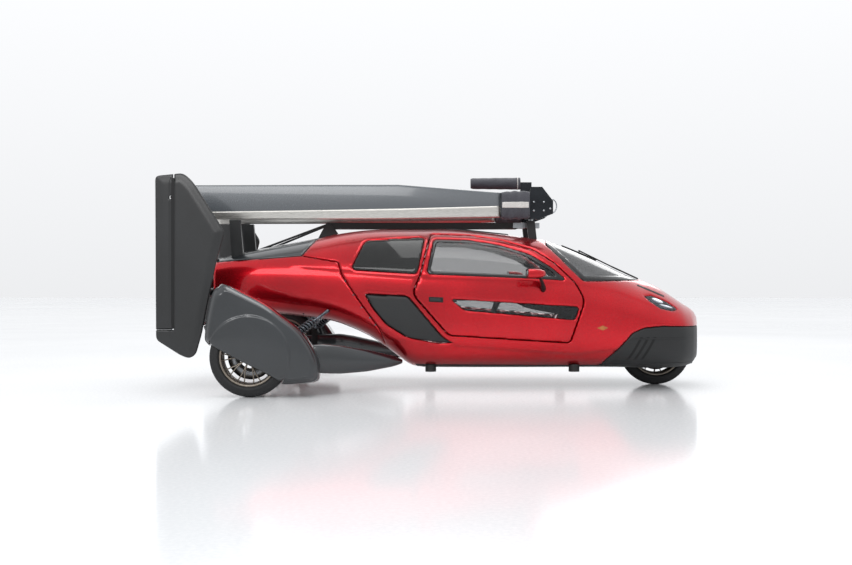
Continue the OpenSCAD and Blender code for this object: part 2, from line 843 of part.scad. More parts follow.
module mast_mount()
    color("#303337") {
        one_mesh()
            difference() {
                for (s = [-1, 1])
                    hull() {
                        translate([pivot_x, s * (mast_w / 2 + clear + ear_t / 2), pivot_z])
                            rotate([90, 0, 0])
                                cylinder(r = 24, h = ear_t, center = true, $fn = 32);
                        translate([pivot_x - 90, s * (mast_w / 2 + clear + ear_t / 2) - ear_t / 2, crown(pivot_x) - 60])
                            cube([200, ear_t, 20]);
                    }
                body(-seat_gap);
            }
        translate([pivot_x, 0, pivot_z])
            rotate([90, 0, 0])
                cylinder(r = pivot_pin_r, h = mast_w + 2 * (clear + ear_t), center = true, $fn = 32);
        both_sides() mast_stay();
    }

// A thin strut from the deck to the mount's ear
module mast_stay() {
    foot = [-1470 * kx, 150 * ky, crown(-1470 * kx) - 30];
    head = [pivot_x - 14, mast_w / 2 + clear + ear_t / 2, pivot_z + 8];
    one_mesh()
        difference() {
            hull() {
                translate(foot) sphere(r = 9, $fn = 16);
                translate(head) sphere(r = 7, $fn = 16);
            }
            body(-seat_gap);
        }
}

module mast()
    color("#3c4046")
        difference() {
            union() {
                translate([pivot_x, mast_w / 2, pivot_z])
                    rotate([90, 0, 0])
                        cylinder(r = mast_d / 2, h = mast_w, $fn = 48);
                translate([pivot_x, -mast_w / 2, pivot_z - mast_d / 2]) cube([mast_l, mast_w, mast_d]);
                translate([head_x, mast_w / 2, pivot_z])
                    rotate([90, 0, 0])
                        cylinder(r = mast_d / 2, h = mast_w, $fn = 48);
            }
            for (x = [pivot_x, head_x])
                translate([x, mast_w, pivot_z])
                    rotate([90, 0, 0])
                        cylinder(r = pivot_pin_r + running, h = 2 * mast_w, $fn = 32);
        }

head_block_z = pivot_z - 18;
head_block_h = 40;
module rotor_head()
    color("#54585e") {
        translate([spin_x - 62, -60, head_block_z]) cube([124, 120, head_block_h]);
        for (s = [-1, 1])
            translate([head_x - 22, s * (mast_w / 2 + clear + ear_t / 2) - ear_t / 2, head_block_z])
                cube([spin_x - head_x, ear_t, head_block_h]);
        translate([spin_x - 62, -mast_w / 2 - clear - ear_t, head_block_z])
            cube([20, mast_w + 2 * (clear + ear_t), head_block_h]);
        translate([head_x, 0, pivot_z])
            rotate([90, 0, 0])
                cylinder(r = pivot_pin_r, h = mast_w + 2 * (clear + ear_t), center = true, $fn = 32);
        translate([spin_x, 0, head_block_z]) cylinder(r = 18, h = hub_top - 6 - head_block_z, $fn = 32);
    }

blade_low = pivot_z + mast_d / 2 + 9;
hub_low = blade_low + 20;
hub_top = blade_low + 120;
blade_front = 467 * kx;
blade_end = -1825 * kx;
bracket_x0 = 690 * kx;
bracket_x1 = 860 * kx;
// The covered tube above the far blade's root
tube_front = 652 * kx;
tube_y = 140;
tube_z = blade_low + 310;
module rotor_hub()
    color("#3a3d42")
        difference() {
            union() {
                translate([spin_x, 0, hub_low]) cylinder(r = 44, h = hub_top - hub_low, $fn = 48);
                translate([spin_x - 26, -blade_y + 40, hub_low + 12]) cube([52, 2 * blade_y - 80, 70]);
                translate([tube_front + seat_gap, tube_y - 15, hub_low + 40])
                    cube([spin_x + 20 - tube_front - seat_gap, 30, tube_z + 10 - hub_low - 40]);
                for (s = [-1, 1])
                    translate([0, s * (blade_y - 30), 0])
                        rotate([90, 0, 0])
                            linear_extrude(height = 30, center = true)
                                polygon([
                                    [bracket_x0 - 20, blade_low + 10], [bracket_x0 + 50, blade_low],
                                    [bracket_x1, blade_low + 44], [bracket_x1, blade_low + 140],
                                    [bracket_x0 + 88, blade_low + 246], [bracket_x0, blade_low + 246]
                                ]);
            }
            translate([spin_x, 0, hub_low - 1]) cylinder(r = 18 + running, h = 300, $fn = 32);
        }

// A blade section on edge: chord upright, nose down
function blade_ring(x, y, low, chord, t) = [
    for (a = [0:24:359])
        let (s = (1 - cos(a)) / 2, h = t * 0.5 * sin(a) * (1.25 - 0.5 * s))
        [x, y + h, low + chord * s]
];
module rotor_blades()
    color(blade_grey)
        for (s = [-1, 1])
            one_mesh()
                loft([
                    blade_ring(blade_end, s * blade_y, blade_low, blade_chord, blade_t * 0.8),
                    blade_ring(-300 * kx, s * blade_y, blade_low + 4, blade_chord, blade_t * 0.9),
                    blade_ring(205 * kx, s * blade_y, blade_low + 10, blade_chord - 46, blade_t),
                    blade_ring(blade_front, s * blade_y, blade_low + 14, blade_chord - 70, blade_t)
                ]);

cover_back = blade_front + seat_gap;
cover_front = 760 * kx;
module blade_covers()
    color("#3c3c44") {
        for (s = [-1, 1])
            one_mesh()
                difference() {
                    loft([
                        for (k = [0:4])
                            let (f = [0.9, 1, 1, 0.98, 0.9][k])
                            blade_ring(
                                cover_back + (cover_front - cover_back) * k / 4, s * (blade_y + 6),
                                blade_low + 104 - 110 * f, 226 * f, 62 * f
                            )
                    ]);
                    translate([bracket_x0 - 60, s * (blade_y - 30) - 15 - seat_gap, 0]) cube([400, 30 + 2 * seat_gap, far]);
                }
        translate([tube_front - 394 * kx, tube_y, tube_z])
            rotate([0, 90, 0])
                cylinder(r = 48, h = 394 * kx, $fn = 48);
    }

module blade_rests()
    color("#2b2d30")
        for (s = [-1, 1]) {
            one_mesh()
                difference() {
                    hull() {
                        translate([-1525 * kx, s * blade_y, blade_low - clear - 4])
                            cube([80, 46, 8], center = true);
                        translate([-1500 * kx, s * blade_y, crown(-1500 * kx) - 120])
                            cube([90, 40, 8], center = true);
                    }
                    body(-seat_gap);
                }
            one_mesh()
                difference() {
                    hull() {
                        translate([700 * kx, s * 190, blade_low - clear - 4])
                            cube([60, 40, 8], center = true);
                        translate([725 * kx, s * 190, crown(725 * kx) - 100])
                            cube([60, 34, 8], center = true);
                    }
                    body(-seat_gap);
                }
        }

// ---------------------------------------------------------------- tail boom, fins and rudders
boom_travel = 920 * kx;
sleeve_front = firewall_x - seat_gap;
inner_r = boom_r - boom_wall - running;
carrier_x = tail_x - 125;
module tube(x0, x1, r, wall)
    translate([x0, 0, 0])
        rotate([0, 90, 0])
            difference() {
                cylinder(r = r, h = x1 - x0, $fn = 48);
                translate([0, 0, -1]) cylinder(r = r - wall, h = x1 - x0 + 2, $fn = 48);
            }
module at_boom() for (s = [-1, 1]) translate([0, s * boom_y, boom_z]) children();

module boom_sleeves()
    color("#5a5e63")
        at_boom() {
            tube(tail_x - 8, sleeve_front, boom_r + running + boom_wall, boom_wall);
            tube(tail_x - 8, tail_x - seat_gap, boom_r + 26, 26 - running);
        }

module boom_stage() color(slate) at_boom() tube(tail_x - 18, sleeve_front - 40, boom_r, boom_wall);

stabiliser_z = 490;
rudder_x = -1885 * kx;
fin_in = fin_y - fin_t / 2;
module tail_carrier()
    color(slate) {
        at_boom() {
            tube(carrier_x + 20, sleeve_front - 60, inner_r, boom_wall);
            translate([carrier_x, 0, 0]) rotate([0, 90, 0]) cylinder(r = inner_r, h = 40, $fn = 48);
        }
        for (s = [-1, 1]) {
            translate([carrier_x, s > 0 ? boom_y : -fin_in + seat_gap, boom_z - 22])
                cube([36, fin_in - boom_y - seat_gap, 44]);
            translate([carrier_x, s * boom_y - 15, stabiliser_z + 10]) cube([36, 30, boom_z - stabiliser_z - 10]);
        }
        one_mesh()
            hull()
                for (s = [-1, 1])
                    for (p = [[carrier_x + 80, 14], [carrier_x - 30, 10], [carrier_x - 70, 4]])
                        translate([p[0], s * (fin_in - seat_gap - 10), stabiliser_z])
                            rotate([90, 0, 0])
                                cylinder(r = p[1], h = 20, center = true, $fn = 24);
    }

fin_outline = [
    [-2000, 1540], [-1806, 1560], [-1759, 1525], [-1719, 1478], [-1511, 1148], [-1571, 928], [-1672, 426],
    [-1712, 285], [-1759, 254], [-1821, 277], [-1994, 387]
];
fin_band = 75;
rudder_low = 464;
rudder_nose = 13;
hinge_notch_z = 1380;
hinge_notch_h = 30;
rudder_pin_r = 5;

// The fin and rudder as one bevelled plate
module tail_plate()
    translate([0, fin_y, 0])
        rotate([90, 0, 0])
            hull() {
                linear_extrude(height = 12, center = true) polygon(scaled(fin_outline));
                linear_extrude(height = fin_t, center = true)
                    intersection() {
                        offset(delta = -fin_band) polygon(scaled(fin_outline));
                        translate([rudder_x - 20, 0]) square([far, far]);
                    }
            }
// What lies behind the rudder's hinge line, widened by a gap
module rudder_zone(grow)
    translate([rudder_x + (rudder_nose + clear) * (grow > 0 ? 1 : 0) - far, -far, rudder_low * kz - grow])
        cube([far, 2 * far, far]);

module tail_fin() {
    one_mesh()
        difference() {
            tail_plate();
            rudder_zone(clear);
        }
    translate([rudder_x, fin_y, rudder_low * kz - clear - 10])
        cylinder(r = rudder_pin_r, h = 45, $fn = 24);
    translate([rudder_x - 12, fin_y - 8, hinge_notch_z * kz])
        cube([12 + rudder_nose + clear + 10, 16, hinge_notch_h - 2 * clear]);
    translate([rudder_x, fin_y, hinge_notch_z * kz - 22])
        cylinder(r = rudder_pin_r, h = hinge_notch_h - 2 * clear + 44, $fn = 24);
}
module tail_fins() color(trim) both_sides() tail_fin();

module rudder()
    color(trim)
        difference() {
            union() {
                one_mesh()
                    intersection() {
                        tail_plate();
                        translate([-8, 0, 0]) rudder_zone(0);
                    }
                translate([rudder_x, fin_y, rudder_low * kz])
                    cylinder(r = rudder_nose, h = (1540 - rudder_low) * kz, $fn = 32);
            }
            translate([rudder_x, fin_y, 0]) cylinder(r = rudder_pin_r + running, h = rudder_low * kz + 40, $fn = 24);
            translate([rudder_x - 24, fin_y - 40, hinge_notch_z * kz - clear]) cube([60, 80, hinge_notch_h]);
            translate([rudder_x, fin_y, hinge_notch_z * kz - 26])
                cylinder(r = rudder_pin_r + running, h = hinge_notch_h + 52, $fn = 24);
        }
module rudder_left() rudder();
module rudder_right() right_side() rudder();

body_shell();
engine_cowl();
rear_deck();
front_bumper();
windscreen();
quarter_windows();
side_intakes();
headlamps();
tail_lamps();
dashboard();
seat_shells();
seat_cushions();
seat_backs();
firewall();
engine_block();
rear_arms();
rear_spats();
rear_shocks();
wiper();
blade_rests();
mast_mount();
steering_head();
door_hinges();
jack_pads();
boom_sleeves();
propeller_gearbox();
steering_wheel();
door_left();
door_right();
door_glass_left();
door_glass_right();
mirror_left();
mirror_right();
front_fork();
front_tyre();
front_rim();
rear_tyre_left();
rear_tyre_right();
rear_rim_left();
rear_rim_right();
mast();
rotor_head();
rotor_hub();
rotor_blades();
blade_covers();
propeller();
boom_stage();
tail_carrier();
tail_fins();
rudder_left();
rudder_right();
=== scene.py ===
import bpy
import numpy as np
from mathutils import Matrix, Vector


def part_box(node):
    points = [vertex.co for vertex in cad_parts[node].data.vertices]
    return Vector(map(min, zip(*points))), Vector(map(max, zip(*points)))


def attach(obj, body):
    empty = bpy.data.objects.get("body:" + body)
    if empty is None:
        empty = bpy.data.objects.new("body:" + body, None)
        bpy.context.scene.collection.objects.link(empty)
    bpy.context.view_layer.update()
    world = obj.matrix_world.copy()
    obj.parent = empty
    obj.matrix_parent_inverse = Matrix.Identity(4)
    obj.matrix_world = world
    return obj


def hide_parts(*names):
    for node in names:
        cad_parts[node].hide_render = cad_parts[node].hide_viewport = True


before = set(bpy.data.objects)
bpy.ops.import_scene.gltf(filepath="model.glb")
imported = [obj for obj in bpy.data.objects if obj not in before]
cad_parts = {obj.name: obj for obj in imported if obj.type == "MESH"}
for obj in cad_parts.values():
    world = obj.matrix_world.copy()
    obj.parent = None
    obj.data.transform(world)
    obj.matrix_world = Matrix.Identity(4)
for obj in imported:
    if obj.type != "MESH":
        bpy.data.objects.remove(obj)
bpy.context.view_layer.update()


# ---------------------------------------------------------------- studio
# A poured resin floor with a soft gloss under a white hall's light, and a camera level with the doors.
# None of it is part of the craft.
def linear(colour):
    """sRGB hex to linear RGBA: a channel c becomes c / 12.92 when small, else ((c + 0.055) / 1.055) to the
    power 2.4."""
    c = np.array([int(colour[k : k + 2], 16) for k in (1, 3, 5)]) / 255
    return (*np.where(c <= 0.04045, c / 12.92, ((c + 0.055) / 1.055) ** 2.4), 1.0)


def add(tree, kind, inputs=None, **settings):
    """One shader node with its settings. An input is a value, or the socket that is linked to it."""
    made = tree.nodes.new(kind)
    for key, value in settings.items():
        setattr(made, key, value)
    for key, value in (inputs or {}).items():
        if isinstance(value, bpy.types.NodeSocket):
            tree.links.new(value, made.inputs[key])
        else:
            made.inputs[key].default_value = value
    return made


def worked(name, dark, light, grain, rough, relief=0.0, patch=0.4, stretch=(1, 1, 1), **shader):
    """A finish whose colour runs from dark to light over fine grain and wide patches (in metres), with
    roughness between two values along the same pattern and a relief in metres."""
    mat = bpy.data.materials.new(name)
    mat.use_nodes = True
    tree = mat.node_tree
    tree.nodes.clear()
    place = add(tree, "ShaderNodeTexCoord").outputs["Object"]
    place = add(tree, "ShaderNodeMapping", {"Vector": place, "Scale": stretch}).outputs[0]
    fine = add(
        tree, "ShaderNodeTexNoise", {"Vector": place, "Scale": 1 / grain, "Detail": 3.0}
    ).outputs["Fac"]
    wide = add(
        tree, "ShaderNodeTexNoise", {"Vector": place, "Scale": 1 / patch, "Detail": 3.0}
    ).outputs["Fac"]
    both = add(tree, "ShaderNodeMix", {0: 0.5, 2: fine, 3: wide}, data_type="FLOAT").outputs[0]
    spread = add(tree, "ShaderNodeMapRange", {0: both, 1: 0.38, 2: 0.62}).outputs[0]
    colour = add(
        tree, "ShaderNodeMix", {0: spread, 6: linear(dark), 7: linear(light)}, data_type="RGBA"
    ).outputs[2]
    gloss = add(tree, "ShaderNodeMapRange", {0: both, 1: 0.35, 2: 0.65, 3: rough[0], 4: rough[1]}).outputs[0]
    inputs = {"Base Color": colour, "Roughness": gloss, **shader}
    if relief:
        inputs["Normal"] = add(
            tree, "ShaderNodeBump", {"Height": fine, "Distance": relief, "Strength": 1.0}
        ).outputs[0]
    surface = add(tree, "ShaderNodeBsdfPrincipled", inputs)
    add(tree, "ShaderNodeOutputMaterial", {"Surface": surface.outputs[0]})
    return mat


def sheet_faces(rows, cols, ring=False):
    """Quads over a grid of rows by cols points. With ring the last column joins the first."""
    i, j = np.meshgrid(np.arange(rows - 1), np.arange(cols if ring else cols - 1), indexing="ij")
    k = (j + 1) % cols
    return np.stack([i * cols + j, i * cols + k, (i + 1) * cols + k, (i + 1) * cols + j], -1).reshape(-1, 4)


def as_object(name, points, faces, finish):
    """A mesh object at the origin from an array of points and an array or list of faces, shaded smooth."""
    mesh = bpy.data.meshes.new(name)
    points, faces = np.asarray(points, float).reshape(-1, 3), np.asarray(faces)
    mesh.from_pydata(points.tolist(), [], faces.tolist())
    mesh.shade_smooth()
    mesh.materials.append(finish)
    made = bpy.data.objects.new(name, mesh)
    bpy.context.scene.collection.objects.link(made)
    return made


resin_floor = worked("poured resin floor", "#dfe1e3", "#e9eaeb", 0.02, (0.10, 0.16), patch=3.0)
across = np.linspace(-45, 45, 10)
floor_x, floor_y = np.meshgrid(across, across, indexing="ij")
floor = as_object(
    "studio_floor", np.stack([floor_x, floor_y, 0 * floor_x], -1), sheet_faces(10, 10)[:, ::-1], resin_floor
)

world = bpy.data.worlds.new("white hall")
world.use_nodes = True
world.node_tree.nodes.clear()
sky = add(world.node_tree, "ShaderNodeTexCoord").outputs["Generated"]
height = add(world.node_tree, "ShaderNodeSeparateXYZ", {0: sky}).outputs[2]
glow = add(world.node_tree, "ShaderNodeMapRange", {0: height, 1: -0.05, 2: 0.55, 3: 0.92, 4: 1.25}).outputs[0]
hall = add(world.node_tree, "ShaderNodeBackground", {"Color": linear("#f4f5f7"), "Strength": glow})
add(world.node_tree, "ShaderNodeOutputWorld", {"Surface": hall.outputs[0]})
bpy.context.scene.world = world
bpy.context.scene.view_settings.view_transform = "Standard"

for label, place, aim, width, depth, power in (
    ("near_window", (-2.5, -6.5, 4.2), (0, 0, 0.8), 5.0, 2.2, 150),
    ("roof_light", (0.5, 0.0, 6.0), (0, 0, 0), 7.0, 3.0, 150),
    ("far_window", (1.5, 7.0, 3.6), (0, 0, 0.8), 6.0, 2.4, 110),
):
    lamp = bpy.data.lights.new(label, "AREA")
    lamp.shape, lamp.size, lamp.size_y, lamp.energy = "RECTANGLE", width, depth, power
    light = bpy.data.objects.new(label, lamp)
    light.location = place
    light.rotation_euler = (Vector(aim) - Vector(place)).to_track_quat("-Z", "Y").to_euler()
    bpy.context.scene.collection.objects.link(light)

camera = bpy.data.objects.new("camera", bpy.data.cameras.new("camera"))
camera.location = (-0.095, -8.0, 0.79)
camera.rotation_euler = (np.pi / 2, 0, 0)
camera.data.lens = 43.4
bpy.context.scene.collection.objects.link(camera)
bpy.context.scene.camera = camera


# ---------------------------------------------------------------- body skin Moulded carbon-fibre panels over
# a spaceframe, flatted and sprayed in a red metallic with a polished clear coat. Each panel is one piece,
# with its edge rolled in along the shut line.
def rail_at(rail, x):
    """A smooth curve through the rail's points: cubic pieces whose slope at a point is its neighbours'
    slope."""
    px, py = np.array(rail, float).T / 1000
    slope = np.empty_like(py)
    slope[1:-1] = (py[2:] - py[:-2]) / (px[2:] - px[:-2])
    slope[0], slope[-1] = (py[1] - py[0]) / (px[1] - px[0]), (py[-1] - py[-2]) / (px[-1] - px[-2])
    x = np.clip(x, px[0], px[-1])
    i = np.clip(np.searchsorted(px, x, side="right") - 1, 0, len(px) - 2)
    d = px[i + 1] - px[i]
    s = (x - px[i]) / d
    return (
        py[i] * (2 * s**3 - 3 * s**2 + 1)
        + slope[i] * d * (s**3 - 2 * s**2 + s)
        + py[i + 1] * (3 * s**2 - 2 * s**3)
        + slope[i + 1] * d * (s**3 - s**2)
    )


crown_rail = [
    (-1660, 985), (-1520, 1020), (-866, 1145), (-726, 1172), (-500, 1196), (-150, 1199), (100, 1197),
    (481, 1160),
    (754, 1125), (855, 1106), (1151, 989), (1509, 826), (1587, 802), (1688, 756), (1868, 639), (1969, 576),
    (2000, 537),
]
belly_rail = [
    (-1660, 600), (-1072, 536), (-813, 500), (-677, 457), (-519, 385), (-390, 298), (-296, 227), (-224, 176),
    (-150, 153), (0, 148), (1370, 146), (1700, 135), (1900, 157), (2000, 210),
]
waist_rail = [
    (-1660, 790), (-1000, 740), (-500, 650), (0, 600), (1040, 600), (1400, 540), (1700, 440), (2000, 380),
]
width_rail = [
    (-1660, 430), (-1400, 462), (-1000, 525), (-600, 605), (-300, 650), (0, 662), (500, 662), (1000, 632),
    (1300, 582), (1600, 510), (1800, 430), (1900, 325), (1950, 222), (1980, 125), (2000, 60),
]
shoulder_rail = [
    (-1660, 3000), (-900, 2600), (0, 2800), (700, 2700), (1100, 2150), (1500, 2000), (2000, 2200),
]
sill_square = 3.6
nose_dome = 0.004
body_rows = np.concatenate([np.linspace(-1.66, 1.76, 214), np.linspace(1.768, 2.0, 30)])
cap = np.linspace(0, np.pi / 2, 14)[1:]
row_x = np.concatenate([-1.66 + 0 * cap, body_rows, 2.0 + nose_dome * np.sin(cap)])
row_scale = np.concatenate([np.sin(np.linspace(0, np.pi / 2, 14)[:-1]), 1 + 0 * body_rows, np.cos(cap)])
girth = np.radians(np.linspace(-90, 270, 229))


def distance_inside(x, z, outline):
    """How far a point of the side view lies inside a closed outline: the least distance to its edges,
    negative outside."""
    a = np.array(outline, float)
    b = np.roll(a, -1, 0)
    reach = 0.08
    result = np.full(x.shape, -reach)
    low, high = a.min(0) - reach, a.max(0) + reach
    near = (x > low[0]) & (x < high[0]) & (z > low[1]) & (z < high[1])
    p = np.stack([x[near], z[near]], -1)[:, None]
    e = b - a
    t = np.clip(((p - a) * e).sum(-1) / (e**2).sum(-1), 0, 1)
    d = np.sqrt((((p - a) - t[..., None] * e) ** 2).sum(-1)).min(-1)
    crossing = ((a[:, 1] > p[..., 1]) != (b[:, 1] > p[..., 1])) & (
        p[..., 0] < e[:, 0] * (p[..., 1] - a[:, 1]) / np.where(e[:, 1] == 0, 1e-9, e[:, 1]) + a[:, 0]
    )
    result[near] = np.where(crossing.sum(-1) % 2 == 1, d, -d)
    return result


def rounded(points, radius):
    """The outline in metres with each corner eased: a quadratic curve between points a radius from the
    corner."""
    p = np.array(points, float) / 1000
    before, after = np.roll(p, 1, 0) - p, np.roll(p, -1, 0) - p
    size = lambda v: np.linalg.norm(v, axis=1)[:, None]
    start = p + before * np.minimum(radius / size(before), 0.45)
    end = p + after * np.minimum(radius / size(after), 0.45)
    t = np.linspace(0, 1, 5)[:, None, None]
    curve = (1 - t) ** 2 * start + 2 * t * (1 - t) * p + t**2 * end
    return curve.transpose(1, 0, 2).reshape(-1, 2)


side_crease = [(-0.60, 0.372), (-0.21, 0.372), (0.142, 0.335), (0.975, 0.272), (1.29, 0.30), (1.40, 0.40)]
belt_crease = [(-1.10, 0.905), (-0.641, 0.873), (-0.124, 0.832), (0.947, 0.786), (1.30, 0.72), (1.62, 0.60)]


def crease(x, z, line, width):
    """A soft step across a line: 0 well above it, 1 well below, smooth over the width."""
    line = np.array(line)
    below = np.interp(x, line[:, 0], line[:, 1]) - z
    s = np.clip(below / width + 0.5, 0, 1)
    fade = np.clip((x - line[0, 0]) / 0.12, 0, 1) * np.clip((line[-1, 0] - x) / 0.12, 0, 1)
    return s * s * (3 - 2 * s) * fade


def skin(row, angle):
    """The outer skin. At each station the half above the widest line and the half below it are
    superellipses: a point in direction a lies (cos^n + sin^n)^(-1/n) out, times the half width across and
    the half height up. Side creases move it in by a few millimetres."""
    at = np.arange(len(row_x))
    x, scale = np.interp(row, at, row_x), np.interp(row, at, row_scale)
    c, s = np.cos(angle), np.sin(angle)
    n = np.where(s >= 0, rail_at(shoulder_rail, x), sill_square)
    out = (np.abs(c) ** n + np.abs(s) ** n + 1e-12) ** (-1 / n)
    waist = rail_at(waist_rail, x)
    tall = np.where(s >= 0, rail_at(crown_rail, x) - waist, waist - rail_at(belly_rail, x))
    y = scale * rail_at(width_rail, x) * out * c
    z = waist + scale * tall * out * s
    tuck = 0.016 * crease(x, z, side_crease, 0.022) + 0.006 * crease(x, z, belt_crease, 0.020)
    return np.stack([x, y - np.sign(y) * np.minimum(np.abs(y), tuck), z], -1)


def cut_sheet(p, d, normal):
    """The triangles of a grid of points where d is positive. Those that cross the edge are cut where d is 0.
    Returns the points, their distance inside, their normals and the triangles."""
    rows, cols = d.shape
    p, d, normal = p.reshape(-1, 3), d.ravel(), normal.reshape(-1, 3)
    quad = sheet_faces(rows, cols)
    quad = quad[(d[quad] > 0).any(1)]
    tri = np.concatenate([quad[:, [0, 1, 2]], quad[:, [0, 2, 3]]])
    whole = tri[(d[tri] >= 0).all(1)]
    cut = tri[((d[tri] >= 0).any(1)) & ((d[tri] < 0).any(1))]
    count = (d[cut] >= 0).sum(1)
    alone = np.where(count == 1, np.argmax(d[cut] >= 0, 1), np.argmax(d[cut] < 0, 1))
    cut = np.take_along_axis(cut, (alone[:, None] + np.arange(3)) % 3, 1)
    pairs = np.concatenate([cut[:, [0, 1]], cut[:, [0, 2]]])
    a, b = pairs.T
    t = (d[a] / (d[a] - d[b]))[:, None]
    points = np.concatenate([p, p[a] + t * (p[b] - p[a])])
    normal = np.concatenate([normal, normal[a] + t * (normal[b] - normal[a])])
    d = np.concatenate([d, np.zeros(len(a))])
    first, second = len(p) + np.arange(len(cut)), len(p) + len(cut) + np.arange(len(cut))
    one = count == 1
    tri = np.concatenate([
        whole,
        np.stack([cut[:, 0], first, second], -1)[one],
        np.stack([first, cut[:, 1], cut[:, 2]], -1)[~one],
        np.stack([first, cut[:, 2], second], -1)[~one],
    ])
    return points, d, normal, tri


def welded(points, tri):
    """The same triangles with points in one place made one, and those with no area left out."""
    _, first, same = np.unique(np.round(points, 5), axis=0, return_index=True, return_inverse=True)
    points, tri = points[first], same.ravel()[tri]
    tri = tri[(tri[:, 0] != tri[:, 1]) & (tri[:, 1] != tri[:, 2]) & (tri[:, 0] != tri[:, 2])]
    tri = tri[np.unique(np.sort(tri, 1), axis=0, return_index=True)[1]]
    used, tri = np.unique(tri, return_inverse=True)
    return points[used], tri.reshape(-1, 3)


def panel(name, inside, finish, lining=None, depth=0.0, roll=0.005, thick=0.024):
    """The part of the skin where inside(x, y, z) is positive, set a depth in and rolled in over the last few
    millimetres like a quarter round. Triangles that cross the edge are cut on it, and Solidify gives the
    wall."""
    rows, cols = len(row_x), len(girth)
    u, v = np.meshgrid(np.arange(rows, dtype=float), girth, indexing="ij")
    p = skin(u, v)
    d = inside(p[..., 0], p[..., 1], p[..., 2])
    du, dv = np.gradient(d)
    steep = du**2 + dv**2 + 1e-12
    near = np.abs(d) < 0.3 * np.sqrt(steep)
    u = np.clip(u - np.where(near, d * du / steep, 0), 0, rows - 1)
    v = v - np.where(near, d * dv / steep, 0) * (girth[1] - girth[0])
    p, d = skin(u, v), np.where(near, 0.0, d)
    across_i, across_j = np.gradient(p, axis=0), np.gradient(p, axis=1)
    normal = np.cross(across_j, across_i)
    normal /= np.linalg.norm(normal, axis=-1, keepdims=True) + 1e-12
    points, d, normal, tri = cut_sheet(p, d, normal)
    sunk = depth + roll - np.sqrt(roll**2 - np.clip(roll - d, 0, roll) ** 2)
    points = points - normal * sunk[:, None]
    points, tri = welded(points, tri)
    made = as_object(name, points, tri, finish)
    made.data.materials.append(lining or finish)
    wall = made.modifiers.new("wall", "SOLIDIFY")
    wall.thickness, wall.offset, wall.material_offset, wall.material_offset_rim = thick, -1, 1, 0
    return made


clear_coated_red = worked(
    "red metallic under clear coat", "#8e000e", "#c80016", 0.0022, (0.22, 0.30), patch=0.9, Metallic=0.82,
    **{"Coat Weight": 0.5, "Coat Roughness": 0.03},
)  # the flake is drawn 2 mm coarse so that it shows
slate_lacquer = worked(
    "slate lacquer over laminate", "#101417", "#1b2126", 0.003, (0.28, 0.36), patch=0.7, Metallic=0.35,
    **{"Coat Weight": 1.0, "Coat Roughness": 0.05},
)
grained_black = worked(
    "black moulded polypropylene", "#101112", "#1a1c1d", 0.004, (0.48, 0.62), relief=0.0004, patch=0.3
)  # leather grain, drawn at 4 mm
felt_lining = worked(
    "needled felt lining", "#17181a", "#27282b", 0.004, (0.85, 0.95), relief=0.0006, patch=0.2
)

door_edge = rounded([
    (-174, 690), (70, 413), (940, 356), (1033, 622), (1040, 665), (1014, 729), (978, 792), (836, 932),
    (690, 1030),
    (462, 1102), (235, 1139), (-60, 1147), (-135, 838), (-181, 737),
], 0.025)
door_window = rounded(
    [(-92, 852), (920, 808), (808, 903), (662, 997), (446, 1068), (228, 1104), (-36, 1112)], 0.03
)
strip_window = rounded([(82, 670), (1010, 614), (978, 520), (180, 590)], 0.022)
quarter_window = rounded([(-641, 884), (-543, 1103), (-104, 1128), (-158, 852)], 0.035)
intake_edge = rounded([
    (-540, 708), (-232, 696), (-196, 658), (26, 396), (110, 345), (0, 345), (-210, 378), (-382, 485),
    (-483, 607),
], 0.02)
windscreen_edge = rounded([(794, 1073), (1043, 803), (1545, 812), (1640, 1000), (870, 1190)], 0.02)
bumper_edge = rounded([
    (1196, 40), (1196, 171), (1220, 214), (1336, 334), (1409, 422), (1493, 456), (1637, 469), (1984, 460),
    (2100, 455),
    (2100, 40),
], 0.01)
headlamp_edge = rounded(
    [(1510, 690), (1578, 697), (1690, 652), (1779, 593), (1734, 581), (1630, 600), (1563, 645)], 0.012
)
deck_edge = rounded(
    [(-920, 1120), (-1010, 987), (-1740, 938), (-1740, 1300), (-850, 1300), (-850, 1153)], 0.01
)
cowl_edge = rounded([
    (-1010, 987), (-736, 938), (-707, 845), (-585, 665), (-434, 455), (-372, 260), (-1740, 260), (-1740, 938),
], 0.01)
wheel_well = (1.685, 0.287)
shut_gap = 0.006
outboard = 0.1


def within(outline, grow=0.0):
    """A test of how far inside the side view's outline a point of the skin is."""
    return lambda x, y, z: distance_inside(x, z, outline) + grow


def outside_well(x, y, z):
    """How far a point is outside the front wheel's well, which is a round hole up through the belly."""
    return np.where(z < 0.35, np.hypot(x - wheel_well[0], y) - wheel_well[1], 1.0)


def shell_area(x, y, z):
    """The body shell: the skin left when every panel, window and the wheel well are taken out."""
    sides = np.abs(y) > outboard
    taken = [distance_inside(x, z, e) + g for e, g in (
        (windscreen_edge, 0.002), (bumper_edge, 0.002), (cowl_edge, 0.002), (deck_edge, 0.002))]
    taken += [np.where(sides, distance_inside(x, z, e) + g, -1.0) for e, g in (
        (door_edge, shut_gap), (quarter_window, 0.0), (intake_edge, 0.0), (headlamp_edge, 0.0))]
    return np.minimum(-np.max(taken, 0), outside_well(x, y, z))


shell = panel("body_panels", shell_area, clear_coated_red, felt_lining)
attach(shell, "airframe")
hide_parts("body_shell")
bumper = panel(
    "bumper_moulding", lambda x, y, z: np.minimum(within(bumper_edge)(x, y, z), outside_well(x, y, z)),
    grained_black
)
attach(bumper, "airframe")
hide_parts("front_bumper")
cowl = panel("engine_cowl_skin", within(cowl_edge), clear_coated_red, felt_lining)
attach(cowl, "airframe")
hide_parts("engine_cowl")
deck = panel("rear_deck_skin", within(deck_edge), slate_lacquer, felt_lining)
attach(deck, "airframe")
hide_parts("rear_deck")

